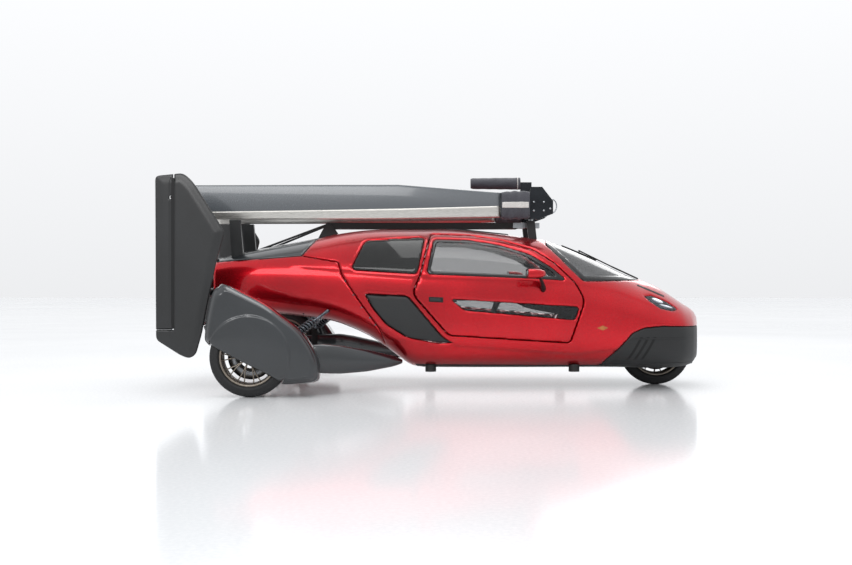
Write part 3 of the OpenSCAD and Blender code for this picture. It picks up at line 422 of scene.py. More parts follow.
for side, sign in (("left", 1), ("right", -1)):
    def one_side(test, sign=sign):
        """The same test, on one side of the craft only."""
        return lambda x, y, z: np.where(sign * y > outboard, test(x, y, z), -1.0)

    door = panel(
        f"door_skin_{side}",
        one_side(lambda x, y, z: np.minimum(
            distance_inside(x, z, door_edge),
            -np.maximum(distance_inside(x, z, door_window), distance_inside(x, z, strip_window)),
        )),
        clear_coated_red, felt_lining, thick=0.036,
    )
    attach(door, f"door_{side}")
    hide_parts(f"door_{side}")


# ---------------------------------------------------------------- glazing Polycarbonate windscreen and side
# panes bonded over a black printed border, the quarter panes in a dark tint. The panes lie just under the
# level of the skin.
def pane(name, dark, light, clear, full, shine=0.9):
    """Glass as a thin gloss sheet: opacity runs from clear, looking straight through, to full at grazing
    angles, with faint wipe marks in its roughness."""
    mat = worked(name, dark, light, 0.05, (0.02, 0.06), patch=0.5)
    tree = mat.node_tree
    shader = next(n for n in tree.nodes if n.type == "BSDF_PRINCIPLED")
    facing = add(tree, "ShaderNodeLayerWeight", {"Blend": 0.35}).outputs["Facing"]
    veil = add(tree, "ShaderNodeMapRange", {0: facing, 1: 0.15, 2: 0.95, 3: clear, 4: full}).outputs[0]
    tree.links.new(veil, shader.inputs["Alpha"])
    shader.inputs["Specular IOR Level"].default_value = shine
    return mat


clear_pane = pane("clear polycarbonate", "#0e1214", "#181d20", 0.26, 0.85)
dark_pane = pane("dark tinted polycarbonate", "#0c0d0d", "#171918", 0.90, 1.0, shine=0.45)
printed_border = worked("black ceramic print", "#060607", "#0d0e0f", 0.004, (0.08, 0.14), patch=0.3)
border = 0.024

screen = panel("windscreen_pane", within(windscreen_edge), clear_pane, depth=0.002, roll=0.002, thick=0.005)
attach(screen, "airframe")
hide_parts("windscreen")
screen_border = panel(
    "windscreen_border",
    lambda x, y, z: np.minimum(
        within(windscreen_edge)(x, y, z), 0.034 - within(windscreen_edge)(x, y, z)),
    printed_border, depth=0.0005, roll=0.0015, thick=0.0012,
)
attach(screen_border, "airframe")
quarter = panel(
    "quarter_panes", lambda x, y,
    z: np.where(np.abs(y) > outboard, distance_inside(x, z, quarter_window), -1.0),
    dark_pane, depth=0.002, roll=0.003, thick=0.005,
)
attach(quarter, "airframe")
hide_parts("quarter_windows")
for side, sign in (("left", 1), ("right", -1)):
    def windows(x, y, z, sign=sign):
        """How far inside either of a door's two windows a point is."""
        both = np.maximum(distance_inside(x, z, door_window), distance_inside(x, z, strip_window))
        return np.where(sign * y > outboard, both, -1.0)

    glass = panel(f"door_panes_{side}", windows, clear_pane, depth=0.004, roll=0.002, thick=0.004)
    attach(glass, f"door_{side}")
    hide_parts(f"door_glass_{side}")
    seal = panel(
        f"door_pane_border_{side}",
        lambda x, y, z: np.minimum(windows(x, y, z), np.where(z > 0.75, border, 0.007) - windows(x, y, z)),
        printed_border, depth=0.002, roll=0.001, thick=0.0015,
    )
    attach(seal, f"door_{side}")


# ---------------------------------------------------------------- scoops, lamps and body fittings Side
# scoops moulded in black behind the doors, headlamps under clear covers with lit bars in a dark bowl, red
# tail lenses, and the small fittings of the skin: vent slats, bumper slots, door handles, side markers and
# screws.
def lump(name, centre, half, finish, power=4.0, steps=24, lean=0.0):
    """A superellipsoid: directions u round and v up give (cos v cos u, cos v sin u, sin v), each taken to 2
    / power, times the half sizes. It leans by an angle about the crosswise axis."""
    round_about = np.linspace(0, 2 * np.pi, 2 * steps, endpoint=False)
    u, v = np.meshgrid(round_about, np.linspace(-np.pi / 2, np.pi / 2, steps))
    bend = lambda w: np.sign(w) * np.abs(w) ** (2 / power)
    level = bend(np.cos(v))
    local = np.stack([level * bend(np.cos(u)), level * bend(np.sin(u)), bend(np.sin(v))], -1) * np.array(half)
    x = local[..., 0] * np.cos(lean) - local[..., 2] * np.sin(lean)
    z = local[..., 0] * np.sin(lean) + local[..., 2] * np.cos(lean)
    points = np.stack([x, local[..., 1], z], -1) + np.array(centre)
    points, quads = points.reshape(-1, 3), sheet_faces(steps, 2 * steps, ring=True)
    points, tri = welded(points, np.concatenate([quads[:, [0, 1, 2]], quads[:, [0, 2, 3]]]))
    return as_object(name, points, tri, finish)


def joined(name, parts):
    """One object from several that share its name's place, each keeping its finish."""
    for o in parts:
        for m in list(o.modifiers):
            with bpy.context.temp_override(object=o, active_object=o):
                bpy.ops.object.modifier_apply(modifier=m.name)
    with bpy.context.temp_override(active_object=parts[0], object=parts[0], selected_editable_objects=parts):
        bpy.ops.object.join()
    parts[0].name = name
    return parts[0]


def pipe(name, path, radius, finish, sides=14, loop=False):
    """A tube along a path: at each point a circle of the radius there (or an ellipse, across and up) stands
    square to the path. Its ends are closed to a point."""
    path = np.array(path, float)
    size = np.asarray(radius, float).reshape(-1, 1) if np.ndim(radius) < 2 else radius
    size = np.broadcast_to(size, (len(path), 2))
    ahead = np.roll(path, -1, 0) - np.roll(path, 1, 0) if loop else np.gradient(path, axis=0)
    ahead = ahead / np.linalg.norm(ahead, axis=1, keepdims=True)
    least = np.eye(3)[np.argmin(np.abs(ahead).max(0))]
    out = np.cross(ahead, least)
    out /= np.linalg.norm(out, axis=1, keepdims=True)
    up = np.cross(out, ahead)
    a = np.linspace(0, 2 * np.pi, sides, endpoint=False)
    ring = (
        path[:, None]
        + size[:, :1, None] * out[:, None] * np.cos(a)[:, None]
        + size[:, 1:, None] * up[:, None] * np.sin(a)[:, None]
    )
    if loop:
        ring = np.concatenate([ring, ring[:1]])
    else:
        tips = [np.broadcast_to(path[k], (1, sides, 3)) for k in (0, -1)]
        ring = np.concatenate([tips[0], ring, tips[1]])
    quads = sheet_faces(len(ring), sides, ring=True)
    points, tri = welded(ring.reshape(-1, 3), np.concatenate([quads[:, [0, 2, 1]], quads[:, [0, 3, 2]]]))
    return as_object(name, points, tri, finish)


scoops = panel(
    "side_scoops", lambda x, y, z: np.where(np.abs(y) > outboard, distance_inside(x, z, intake_edge), -1.0),
    grained_black, depth=0.008, roll=0.012, thick=0.010,
)
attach(scoops, "airframe")
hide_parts("side_intakes")

lamp_chrome = worked(
    "vacuum plated lamp bowl", "#3a3d42", "#6a6f76", 0.02, (0.12, 0.22), patch=0.1, Metallic=1.0
)
lit_bar = worked(
    "lit lamp diffuser", "#e9eef5", "#ffffff", 0.01, (0.3, 0.4), patch=0.1,
    **{"Emission Color": linear("#eaf2ff"), "Emission Strength": 0.8},
)
lamp_cover = pane("hard coated lamp cover", "#1a1f26", "#2a3038", 0.22, 0.85)
one_lamp = lambda x, y, z: np.where(np.abs(y) > outboard, distance_inside(x, z, headlamp_edge), -1.0)
cover = panel("headlamp_covers", one_lamp, lamp_cover, depth=0.001, roll=0.003, thick=0.003)
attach(cover, "airframe")
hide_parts("headlamps")
bowl = panel("headlamp_bowls", one_lamp, lamp_chrome, depth=0.016, roll=0.012, thick=0.006)
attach(bowl, "airframe")


def on_skin(x, z, side, out=0.0):
    """The point of the skin at a place in the side view: the superellipse solved for its half width at that
    height."""
    waist, x = rail_at(waist_rail, x), np.asarray(x, float)
    top, low = rail_at(crown_rail, x) - waist, waist - rail_at(belly_rail, x)
    n = np.where(z > waist, rail_at(shoulder_rail, x), sill_square)
    share = np.clip(np.abs(z - waist) / np.where(z > waist, top, low), 0, 1)
    y = rail_at(width_rail, x) * (1 - share**n) ** (1 / n)
    y = y - 0.016 * crease(x, z, side_crease, 0.022) - 0.006 * crease(x, z, belt_crease, 0.020)
    return np.stack([x, side * (y + out), np.broadcast_to(z, x.shape)], -1)


lamp_bars = []
for side in (1, -1):
    for start, end, bar in (((1.575, 0.672), (1.66, 0.640), 0.011), ((1.63, 0.628), (1.735, 0.600), 0.007)):
        t = np.linspace(0, 1, 9)
        x, z = start[0] + t * (end[0] - start[0]), start[1] + t * (end[1] - start[1])
        lamp_bars.append(
            pipe("bar", on_skin(x, z, side, -0.012), bar * np.sqrt(1 - (1.9 * t - 0.95) ** 2), lit_bar)
        )
lamp_bars = joined("headlamp_bars", lamp_bars)
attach(lamp_bars, "airframe")

red_lens = worked(
    "moulded red acrylic lens", "#5c0008", "#a00010", 0.004, (0.08, 0.14), relief=0.0006, patch=0.05,
    stretch=(1, 1, 6), **{"Coat Weight": 0.6, "Emission Color": linear("#ff1020"), "Emission Strength": 0.15},
)
low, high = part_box("tail_lamps")
tail_mid = (low[2] + high[2]) / 2
lenses = joined("tail_lenses", [
    lump(
        "lens", ((low[0] + high[0]) / 2, side * (high[1] - 0.06), tail_mid), (0.012, 0.06, 0.025), red_lens,
        5.0
    )
    for side in (1, -1)
])
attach(lenses, "airframe")
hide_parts("tail_lamps")


def patch_on_skin(name, corners, finish, side, out, thick=0.004, rows=8, cols=16):
    """A four-cornered plate laid on the skin: corners of the side view blended over the unit square, lifted
    off the skin by out, and given a wall."""
    c = np.array(corners, float)
    u, v = np.meshgrid(np.linspace(0, 1, cols), np.linspace(0, 1, rows))
    u, v = u[..., None], v[..., None]
    flat = (1 - v) * ((1 - u) * c[0] + u * c[1]) + v * ((1 - u) * c[3] + u * c[2])
    points = on_skin(flat[..., 0], flat[..., 1], side, out)
    faces = sheet_faces(rows, cols)
    made = as_object(name, points, faces if side < 0 else faces[:, ::-1], finish)
    wall = made.modifiers.new("wall", "SOLIDIFY")
    wall.thickness, wall.offset = thick, -1
    edge = made.modifiers.new("edge", "BEVEL")
    edge.width, edge.segments, edge.limit_method = thick * 0.3, 2, "ANGLE"
    return made


matt_black = worked(
    "matt black anodised alloy", "#0c0c0d", "#161617", 0.003, (0.45, 0.6), patch=0.1, Metallic=0.4
)
amber = worked(
    "moulded amber acrylic", "#8a4a12", "#c06a1c", 0.004, (0.1, 0.2), patch=0.05, **{"Coat Weight": 0.5}
)
for side, label in ((1, "left"), (-1, "right")):
    fittings = []
    for k in range(3):
        x0, z0 = 1.475 + 0.062 * k, 0.772 - 0.026 * k
        fittings.append(patch_on_skin(
            "slat",
            [(x0, z0 - 0.006), (x0 + 0.085, z0 - 0.040), (x0 + 0.092, z0 - 0.028), (x0 + 0.012, z0 + 0.006)],
            matt_black, side, 0.0015,
        ))
    for k in range(3):
        x0 = 1.372 + 0.052 * k
        fittings.append(patch_on_skin(
            "slot", [(x0, 0.222), (x0 + 0.022, 0.222), (x0 + 0.112, 0.392), (x0 + 0.090, 0.392)],
            matt_black, side, 0.0012,
        ))
    for z0, tall, start in ((0.374, 0.008, 1.385), (0.182, 0.010, 1.225)):
        fittings.append(patch_on_skin(
            "ledge",
            [(start, z0), (1.955, z0 + 0.004), (1.955, z0 + 0.004 + tall), (start + 0.01, z0 + tall)],
            grained_black, side, 0.0035, cols=60, rows=3,
        ))
    fittings.append(patch_on_skin(
        "sill", [(-0.190, 0.158), (1.27, 0.150), (1.27, 0.178), (-0.205, 0.190)], grained_black, side, 0.003,
        cols=40,
    ))
    fittings = joined(f"black_fittings_{label}", fittings)
    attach(fittings, "airframe")
    marker = patch_on_skin(
        f"side_marker_{label}", [(1.136, 0.462), (1.180, 0.444), (1.220, 0.462), (1.180, 0.480)], amber,
        side, 0.003,
    )
    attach(marker, "airframe")
    handle = joined(f"door_handle_{label}", [
        patch_on_skin(
            "cup", [(-0.075, 0.652), (0.028, 0.646), (0.028, 0.684), (-0.075, 0.688)], matt_black, side, 0.001
        ),
        patch_on_skin(
            "flap", [(-0.066, 0.660), (0.010, 0.655), (0.010, 0.676), (-0.066, 0.680)], grained_black, side,
            0.006
        ),
    ])
    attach(handle, f"door_{label}")
    screws = joined(f"panel_screws_{label}", [
        lump("screw", on_skin(np.array(x), z, side, 0.001), (0.006, 0.003, 0.006), lamp_chrome, 2.0, 8)
        for x,
        z in ((-0.68, 0.800), (-0.62, 0.700), (-0.56, 0.610), (-0.50, 0.535), (-0.46, 0.485), (-1.00, 0.560))
    ])
    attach(screws, "airframe")


# ---------------------------------------------------------------- wheels Cast alloy rims with thin spokes
# under road tyres: a slick-shouldered tread with three ribs at the front and two grooves with cross cuts at
# the back. The tyre is moulded rubber, its tone mottled all over.
def turned(name, profile, centre, finish, steps=96, relief=None):
    """A profile of (radius, along) turned about the crosswise axis through centre. relief(angle, along) is
    added to the radius. The profile closes on itself."""
    r, y = np.array(profile, float).T
    a = np.linspace(0, 2 * np.pi, steps, endpoint=False)[:, None]
    r = r + (relief(a, y) if relief else 0)
    points = np.stack([r * np.cos(a) + 0 * y, y + 0 * a, r * np.sin(a)], -1) + np.array(centre)
    points = np.concatenate([points, points[:1]])
    quads = sheet_faces(steps + 1, len(y), ring=True)
    points, tri = welded(points.reshape(-1, 3), np.concatenate([quads[:, [0, 1, 2]], quads[:, [0, 2, 3]]]))
    made = as_object(name, points, tri, finish)
    p = points[tri]
    if (p[:, 0] * np.cross(p[:, 1], p[:, 2])).sum() < 0:
        made.data.flip_normals()
    return made


rubber = worked("moulded tyre rubber", "#101011", "#1d1d1e", 0.006, (0.62, 0.82), relief=0.0005, patch=0.15)
cast_bronze = worked(
    "cast alloy in bronze grey", "#6f675e", "#958c81", 0.004, (0.30, 0.42), relief=0.0001, patch=0.2,
    Metallic=0.85
)
disc_steel = worked(
    "turned brake disc", "#5b5d60", "#8e9093", 0.003, (0.25, 0.40), patch=0.08, stretch=(1, 6, 1),
    Metallic=1.0
)


def tyre(name, centre, outer, width, rim, grooves):
    """A tyre: tread crowned by a cosine, bulged sidewalls down to the bead, with ribs cut by cosine grooves
    and fine cross cuts round the shoulders."""
    half = width / 2
    w = np.linspace(-1, 1, 61)
    tread = np.stack([outer - 0.012 * np.abs(w) ** 2.6 - 0.03 * np.abs(w) ** 9, half * 0.93 * w], -1)
    s = np.linspace(0, 1, 12)[1:]
    bead = rim - 0.002
    bulge = 0.93 + 0.07 * np.sin(np.pi * s) - 0.17 * s**3
    down = np.stack([tread[-1, 0] + s * (bead - tread[-1, 0]), half * bulge], -1)
    arch = np.pi * np.linspace(0, 1, 14)[1:-1]
    inside = np.stack([bead + 0.5 * (outer - rim) * np.sin(arch), half * 0.66 * np.cos(arch)], -1)
    profile = np.concatenate([tread, down, inside, (down * [1, -1])[::-1]])

    def cuts(a, y):
        """Depth of the ribs and cross cuts at an angle and a place across."""
        on = (np.abs(y) < half * 0.9) & (np.arange(len(y)) < 61)
        rib = sum(np.exp(-(((y - g * half) / 0.0035) ** 2)) for g in grooves)
        cross = 0.5 * (1 + np.tanh(8 * (np.cos(60 * a + 90 * np.abs(y)) - 0.80))) * (np.abs(y) > half * 0.45)
        return -0.005 * on * np.maximum(rib, 0.7 * cross)

    return turned(name, profile, centre, rubber, 360, cuts)


def rim_piece(name, centre, radius, width, spokes, out_side):
    """A rim: a turned barrel with a lipped edge, a domed hub, and twin spokes that bow out between them."""
    h = width / 2
    barrel = turned("barrel", [
        (radius, -h * 0.80), (radius, h * 0.80), (radius - 0.004, h * 0.86), (radius - 0.014, h * 0.84),
        (radius - 0.018, h * 0.6), (radius - 0.026, 0), (radius - 0.018, -h * 0.6),
        (radius - 0.014, -h * 0.84),
        (radius - 0.004, -h * 0.86),
    ], centre, cast_bronze, 120)
    hub = turned("hub", [
        (0.0002, h * 0.55), (0.020, h * 0.54), (0.034, h * 0.46), (0.040, h * 0.30), (0.040, -h * 0.5),
        (0.0002, -h * 0.5),
    ], centre, cast_bronze, 48)
    disc = turned("disc", [
        (radius * 0.40, -0.004), (radius * 0.78, -0.004), (radius * 0.78, 0.004), (radius * 0.40, 0.004)
    ], np.array(centre) + [0, -h * 0.35 * out_side, 0], disc_steel, 96)
    t = np.linspace(0, 1, 9)
    parts = [barrel, hub, disc]
    for k in range(spokes):
        for lean in (-0.16, 0.16):
            a = 2 * np.pi * k / spokes + lean * (t - 0.1)
            r = 0.030 + t * (radius - 0.046)
            bow = out_side * h * (0.42 + 0.22 * np.sin(np.pi * t) * 0.5 + 0.12 * t)
            path = np.stack([r * np.cos(a), bow, r * np.sin(a)], -1) + np.array(centre)
            parts.append(
                pipe("spoke", path, np.stack([0.006 - 0.002 * t, 0.009 - 0.003 * t], -1), cast_bronze, 8)
            )
    nuts = []
    for a in 2 * np.pi * np.arange(5) / 5:
        place = np.array(centre) + [0.026 * np.cos(a), out_side * h * 0.55, 0.026 * np.sin(a)]
        nuts.append(lump("nut", place, (0.005, 0.006, 0.005), lamp_chrome, 2.6, 6))
    return joined(name, parts + nuts)


def wheel_of(tyre_node):
    """Centre, radius and width of the wheel that a tyre's box gives."""
    low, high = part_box(tyre_node)
    return np.array((low + high) / 2), (high[2] - low[2]) / 2, high[1] - low[1]


for label, body, spokes, grooves in (
    ("front", "front_wheel", 9, (-0.38, 0.0, 0.38)),
    ("rear_left", "rear_wheel_left", 10, (-0.5, -0.17, 0.17, 0.5)),
    ("rear_right", "rear_wheel_right", 10, (-0.5, -0.17, 0.17, 0.5)),
):
    names = {"front": ("front_tyre", "front_rim")}.get(
        label, (f"rear_tyre_{label[5:]}", f"rear_rim_{label[5:]}")
    )
    centre, outer, width = wheel_of(names[0])
    low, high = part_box(names[1])
    rim_radius = (high[2] - low[2]) / 2
    side = -1 if label == "rear_right" else 1
    rolling = tyre(f"{label}_road_tyre", centre, outer, width, rim_radius, grooves)
    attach(rolling, body)
    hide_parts(names[0])
    wheel = rim_piece(f"{label}_spoked_rim", centre, rim_radius, width, spokes, side)
    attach(wheel, body)
    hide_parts(names[1])


# ---------------------------------------------------------------- rear spats and trailing arms Teardrop
# covers over the rear wheels with a raised disc round the wheel, and the faired arms that carry the wheels.
# Both are lacquered laminate.
def eased_loop(points, steps):
    """A closed curve through the points: cubic pieces whose slope at a point is half the step between its
    neighbours."""
    p = np.array(points, float) / 1000
    a, b, c, d = np.roll(p, 1, 0), p, np.roll(p, -1, 0), np.roll(p, -2, 0)
    t = np.linspace(0, 1, steps, endpoint=False)[:, None, None]
    curve = 0.5 * (2 * b + (c - a) * t + (2 * a - 5 * b + 4 * c - d) * t**2 + (3 * b - a - 3 * c + d) * t**3)
    return curve.transpose(1, 0, 2).reshape(-1, 2)


def closed_rings(name, rings, finish):
    """A closed skin over rings of points: each ring joins the next, and the first and last close on their
    middles."""
    first, last = rings[:1].mean(1, keepdims=True), rings[-1:].mean(1, keepdims=True)
    every = np.concatenate(
        [np.broadcast_to(first, rings[:1].shape), rings, np.broadcast_to(last, rings[:1].shape)]
    )
    quads = sheet_faces(len(every), rings.shape[1], ring=True)
    points, tri = welded(every.reshape(-1, 3), np.concatenate([quads[:, [0, 1, 2]], quads[:, [0, 2, 3]]]))
    p = points[tri]
    if (p[:, 0] * np.cross(p[:, 1], p[:, 2])).sum() < 0:
        tri = tri[:, ::-1]
    return as_object(name, points, tri, finish)


def carved(made, cutter):
    """The piece with the cutter's space taken out of it. The cutter is thrown away."""
    cut = made.modifiers.new("cut", "BOOLEAN")
    cut.operation, cut.solver, cut.object = "DIFFERENCE", "EXACT", cutter
    view = bpy.context.evaluated_depsgraph_get()
    mesh = bpy.data.meshes.new_from_object(made.evaluated_get(view))
    made.modifiers.clear()
    made.data = mesh
    bpy.data.objects.remove(cutter)
    return made


spat_edge = [
    (-1530, 762), (-1488, 779), (-1347, 714), (-1205, 640), (-1087, 554), (-969, 463), (-898, 374),
    (-851, 287),
    (-830, 209), (-839, 114), (-922, 91), (-1051, 82), (-1099, 91), (-1205, 147), (-1441, 265), (-1601, 362),
    (-1624, 451), (-1577, 705),
]
spat_in, spat_out = 0.7915, 0.992
spat_loop = eased_loop(spat_edge, 12)
spat_mid = (spat_loop.max(0) + spat_loop.min(0)) / 2
wheel_middle, wheel_radius, wheel_width = wheel_of("rear_tyre_left")
share = np.concatenate([np.linspace(0, 0.55, 12), 1 - 0.45 * np.cos(np.linspace(0, np.pi / 2, 16)[1:])])
fullness = np.interp(
    share, [0, 0.12, 0.35, 0.60, 0.80, 0.92, 1.0], [0.945, 0.985, 1.0, 0.992, 0.965, 0.92, 0.86]
)
face = np.linspace(0.86, 0.02, 40)[1:]
for side, label in ((1, "left"), (-1, "right")):
    size = np.concatenate([fullness, face])[:, None, None]
    ring = spat_mid + (spat_loop - spat_mid) * size
    dome = spat_out + 0.006 * (1 - (face / 0.86) ** 2)
    out = np.concatenate([spat_in + (spat_out - spat_in) * share, dome])[:, None]
    away = np.hypot(ring[..., 0] - wheel_middle[0], ring[..., 1] - wheel_middle[2])
    disc = np.clip((0.291 - away) / 0.010, 0, 1)
    out = out + 0 * away - 0.009 * (1 - disc * disc * (3 - 2 * disc)) * (out > 0.95)
    spat = closed_rings(
        f"wheel_spat_{label}", np.stack([ring[..., 0], side * out, ring[..., 1]], -1), slate_lacquer
    )
    inner_face, outer_face = side * (wheel_middle[1] - 0.5), side * (
        wheel_middle[1] + wheel_width / 2 + 0.006
    )
    room = wheel_radius + 0.012
    spat = carved(spat, turned(
        "cutter", [(0.0001, inner_face), (room, inner_face), (room, outer_face), (0.0001, outer_face)],
        (wheel_middle[0], 0, wheel_middle[2]), slate_lacquer, 128,
    ))
    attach(spat, "airframe")

    t = np.linspace(0, 1, 60)
    knots = [0, 0.10, 0.30, 0.50, 0.62, 0.80, 1.0]
    centre = np.stack([
        np.interp(t, knots, [-0.250, -0.34, -0.52, -0.70, -0.82, -1.05, -1.345]),
        side * np.interp(t, knots, [0.470, 0.530, 0.620, 0.690, 0.745, 0.772, 0.775]),
        np.interp(t, knots, [0.212, 0.218, 0.228, 0.240, 0.252, 0.262, 0.277]),
    ], -1)
    eased = lambda c: np.convolve(np.pad(c, 4, "edge"), np.ones(9) / 9, "valid")
    centre = np.apply_along_axis(eased, 0, centre)
    tall = np.interp(t, knots, [0.012, 0.040, 0.078, 0.100, 0.104, 0.080, 0.050])
    wide = np.interp(t, knots, [0.030, 0.050, 0.048, 0.040, 0.034, 0.016, 0.013])
    a = np.linspace(0, 2 * np.pi, 48, endpoint=False)
    full = wide[:, None] * np.sign(np.cos(a)) * np.abs(np.cos(a)) ** 0.9
    ring = centre[:, None] + np.stack([0 * full, full, tall[:, None] * np.sin(a)], -1)
    arm = closed_rings(f"trailing_arm_{label}", ring, slate_lacquer)
    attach(arm, "airframe")
    stub = [(wheel_middle[0], side * y, wheel_middle[2]) for y in (0.77, 0.80, 0.90, 0.972)]
    axle = pipe(f"rear_axle_{label}", stub, 0.0155, lamp_chrome, 24)
    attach(axle, "airframe")
    if side > 0:
        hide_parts("rear_spats")
        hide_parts("rear_arms")


# ---------------------------------------------------------------- suspension struts
# A gas damper inside a wound steel spring each side, between the deck and the arm, on rubber-bushed lugs.
spring_steel = worked(
    "powder coated spring steel", "#3f4347", "#5a5f65", 0.004, (0.32, 0.45), patch=0.1, Metallic=0.6
)
low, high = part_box("rear_shocks")
for side, label in ((1, "left"), (-1, "right")):
    top = np.array([-0.800, side * 0.560, 0.590])
    foot = np.array([-1.045, side * (high[1] - 0.012), 0.400])
    along = foot - top
    t = np.linspace(0, 1, 30)[:, None]
    size = np.interp(
        t.ravel(), [0, 0.08, 0.1, 0.42, 0.44, 0.95, 1], [0.013, 0.013, 0.011, 0.011, 0.021, 0.021, 0.014]
    )
    damper = pipe("damper", top + t * along, size, lamp_chrome, 20)
    turn = np.linspace(0, 1, 260)[:, None]
    across_way = np.cross(along, [0, 0, 1.0])
    across_way /= np.linalg.norm(across_way)
    other_way = np.cross(along / np.linalg.norm(along), across_way)
    wound = 2 * np.pi * 8 * turn
    coil = pipe(
        "coil",
        top + (0.33 + 0.56 * turn) * along + 0.029 * (np.cos(wound) * across_way + np.sin(wound) * other_way),
        0.0048, spring_steel, 10,
    )
    lug = lump("lug", foot + [0, 0, -0.082], (0.024, 0.0115, 0.092), matt_black, 6.0)
    bush = pipe("bush", foot + np.array([[0, -0.014, 0], [0, 0, 0], [0, 0.014, 0]]), 0.019, rubber, 20)
    strut = joined(f"spring_strut_{label}", [damper, coil, lug, bush])
    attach(strut, "airframe")
    if side > 0:
        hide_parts("rear_shocks")


# ---------------------------------------------------------------- fins and rudders Upright plates at the
# boom's end: moulded skins bonded over foam, black, with a thick rounded leading band and a hinged rudder
# behind.
fin_black = worked(
    "satin black over laminate", "#0d0e0f", "#16181a", 0.005, (0.34, 0.46), patch=0.5, Metallic=0.1,
    **{"Coat Weight": 0.3, "Coat Roughness": 0.2},
)
fin_edge = rounded([
    (-2000, 1540), (-1806, 1560), (-1759, 1525), (-1719, 1478), (-1511, 1148), (-1571, 928), (-1672, 426),
    (-1712, 285),
    (-1759, 254), (-1821, 277), (-1994, 387),
], 0.03)
hinge_line, rudder_low, tab_height = -1.885, 0.464, 1.390
low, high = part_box("rudder_left")
fin_place = (low[1] + high[1]) / 2


def plate(name, keep, place, finish):
    """Both faces of an upright plate. Its half thickness is a quarter round over the first millimetres
    inside the edge and then rises by a smooth step over the leading band."""
    x, z = np.meshgrid(np.linspace(-2.01, -1.49, 72), np.linspace(0.24, 1.57, 184), indexing="ij")
    points, faces = [], []
    for side in (1, -1):
        edge = distance_inside(x, z, fin_edge)
        d = np.minimum(edge, keep(x, z))
        p = np.stack([x, 0 * x, z], -1)
        p, d, _, tri = cut_sheet(p, d, np.zeros_like(p))
        band = np.clip(distance_inside(p[:, 0], p[:, 2], fin_edge) / 0.070, 0, 1)
        front = np.clip((p[:, 0] + 1.90) / 0.05, 0, 1)
        thick = 0.006 + 0.013 * np.where(
            p[:, 0] > -1.9, 1, 0.6
        ) * band**2 * (3 - 2 * band) * (0.55 + 0.45 * front)
        round_off = np.sqrt(np.clip(1 - (1 - np.clip(d / 0.007, 0, 1)) ** 2, 0, 1))
        p[:, 1] = place + side * thick * round_off
        faces.append((tri if side < 0 else tri[:, ::-1]) + sum(map(len, points)))
        points.append(p)
    points, tri = welded(np.concatenate(points), np.concatenate(faces))
    return as_object(name, points, tri, finish)


for side, label in ((1, "left"), (-1, "right")):
    y = side * fin_place
    ahead = lambda x, z: np.maximum(x - hinge_line - 0.019, rudder_low - 0.006 - z)
    fin = plate(f"fin_{label}", ahead, y, fin_black)
    hinges = [
        pipe("pin", [(hinge_line, y, z) for z in (z0 - 0.03, z0, z0 + 0.03)], 0.0048, lamp_chrome, 16)
        for z0 in (rudder_low - 0.002, 1.395)
    ]
    hinges.append(
        lump("tab", (hinge_line + 0.012, y, tab_height), (0.020, 0.007, 0.009), matt_black, 5.0, 12)
    )
    for face in (1, -1):
        place = (hinge_line + 0.013, y + face * 0.0145, 0.995)
        hinges.append(lump("seal", place, (0.013, 0.0010, 0.532), matt_black, 8.0, 14))
    hinges = joined("hinges", hinges)
    fin = joined(f"fin_{label}", [fin, hinges])
    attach(fin, "tail")
    if side > 0:
        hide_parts("tail_fins")

    def behind(x, z):
        """How far a point is inside the rudder's front edge, its foot, and the notch round the hinge's
        tab."""
        notch = np.maximum(np.abs(z - tab_height) - 0.012, hinge_line - 0.013 - x)
        return np.minimum(np.minimum(hinge_line + 0.012 - x, z - rudder_low), notch)

    rudder = plate(f"rudder_skin_{label}", behind, y, fin_black)
    nose = [
        pipe("nose", [(hinge_line, y, z) for z in np.linspace(z0, z1, 5)], 0.0125, fin_black, 32)
        for z0, z1 in ((rudder_low + 0.002, 1.376), (1.404, 1.530))
    ]
    foot = lump(
        "foot", (hinge_line - 0.052, y, rudder_low - 0.001), (0.056, 0.003, 0.004), matt_black, 8.0, 14
    )
    rudder = joined(f"rudder_skin_{label}", [rudder, *nose, foot])
    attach(rudder, f"rudder_{label}")
    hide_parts(f"rudder_{label}")


# ---------------------------------------------------------------- rotor blades and covers Two laminate
# blades carried on edge, with a bare alloy strip along the lower edge. Their roots, and a control tube, are
# sleeved in a padded fabric cover with a pale stripe.
blade_paint = worked(
    "grey gelcoat over laminate", "#4c5054", "#585c60", 0.0015, (0.20, 0.30), patch=0.8, stretch=(0.25, 1, 1),
    Metallic=0.15, **{"Coat Weight": 0.7, "Coat Roughness": 0.06},
)
strip_alloy = worked(
    "brushed alloy edge strip", "#a9a7a2", "#c9c7c2", 0.002, (0.25, 0.38), patch=0.3, stretch=(0.05, 1, 1),
    Metallic=0.9
)
low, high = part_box("rotor_blades")
blade_low = low[2]


def blade_skin(x, around, side, out=0.0):
    """A blade on edge: at an angle round the section the chord's share is (1 - cos) / 2 and the half
    thickness is a sine that is fuller near the lower, leading edge. Chord, thickness and height run smoothly
    along the blade."""
    at = [-1.825, -0.300, 0.205, 0.467]
    low_edge = np.interp(x, at, [blade_low, blade_low + 0.004, blade_low + 0.010, blade_low + 0.014])
    chord = np.interp(x, at, [0.256, 0.256, 0.210, 0.186])
    thick = np.interp(x, at, [0.0288, 0.0324, 0.036, 0.036])
    s = (1 - np.cos(around)) / 2
    y = side * 0.300 + (thick / 2 * (1.25 - 0.5 * s) + out) * np.sin(around)
    return np.stack([x + 0 * s, y, low_edge + chord * s - out * np.cos(around)], -1)


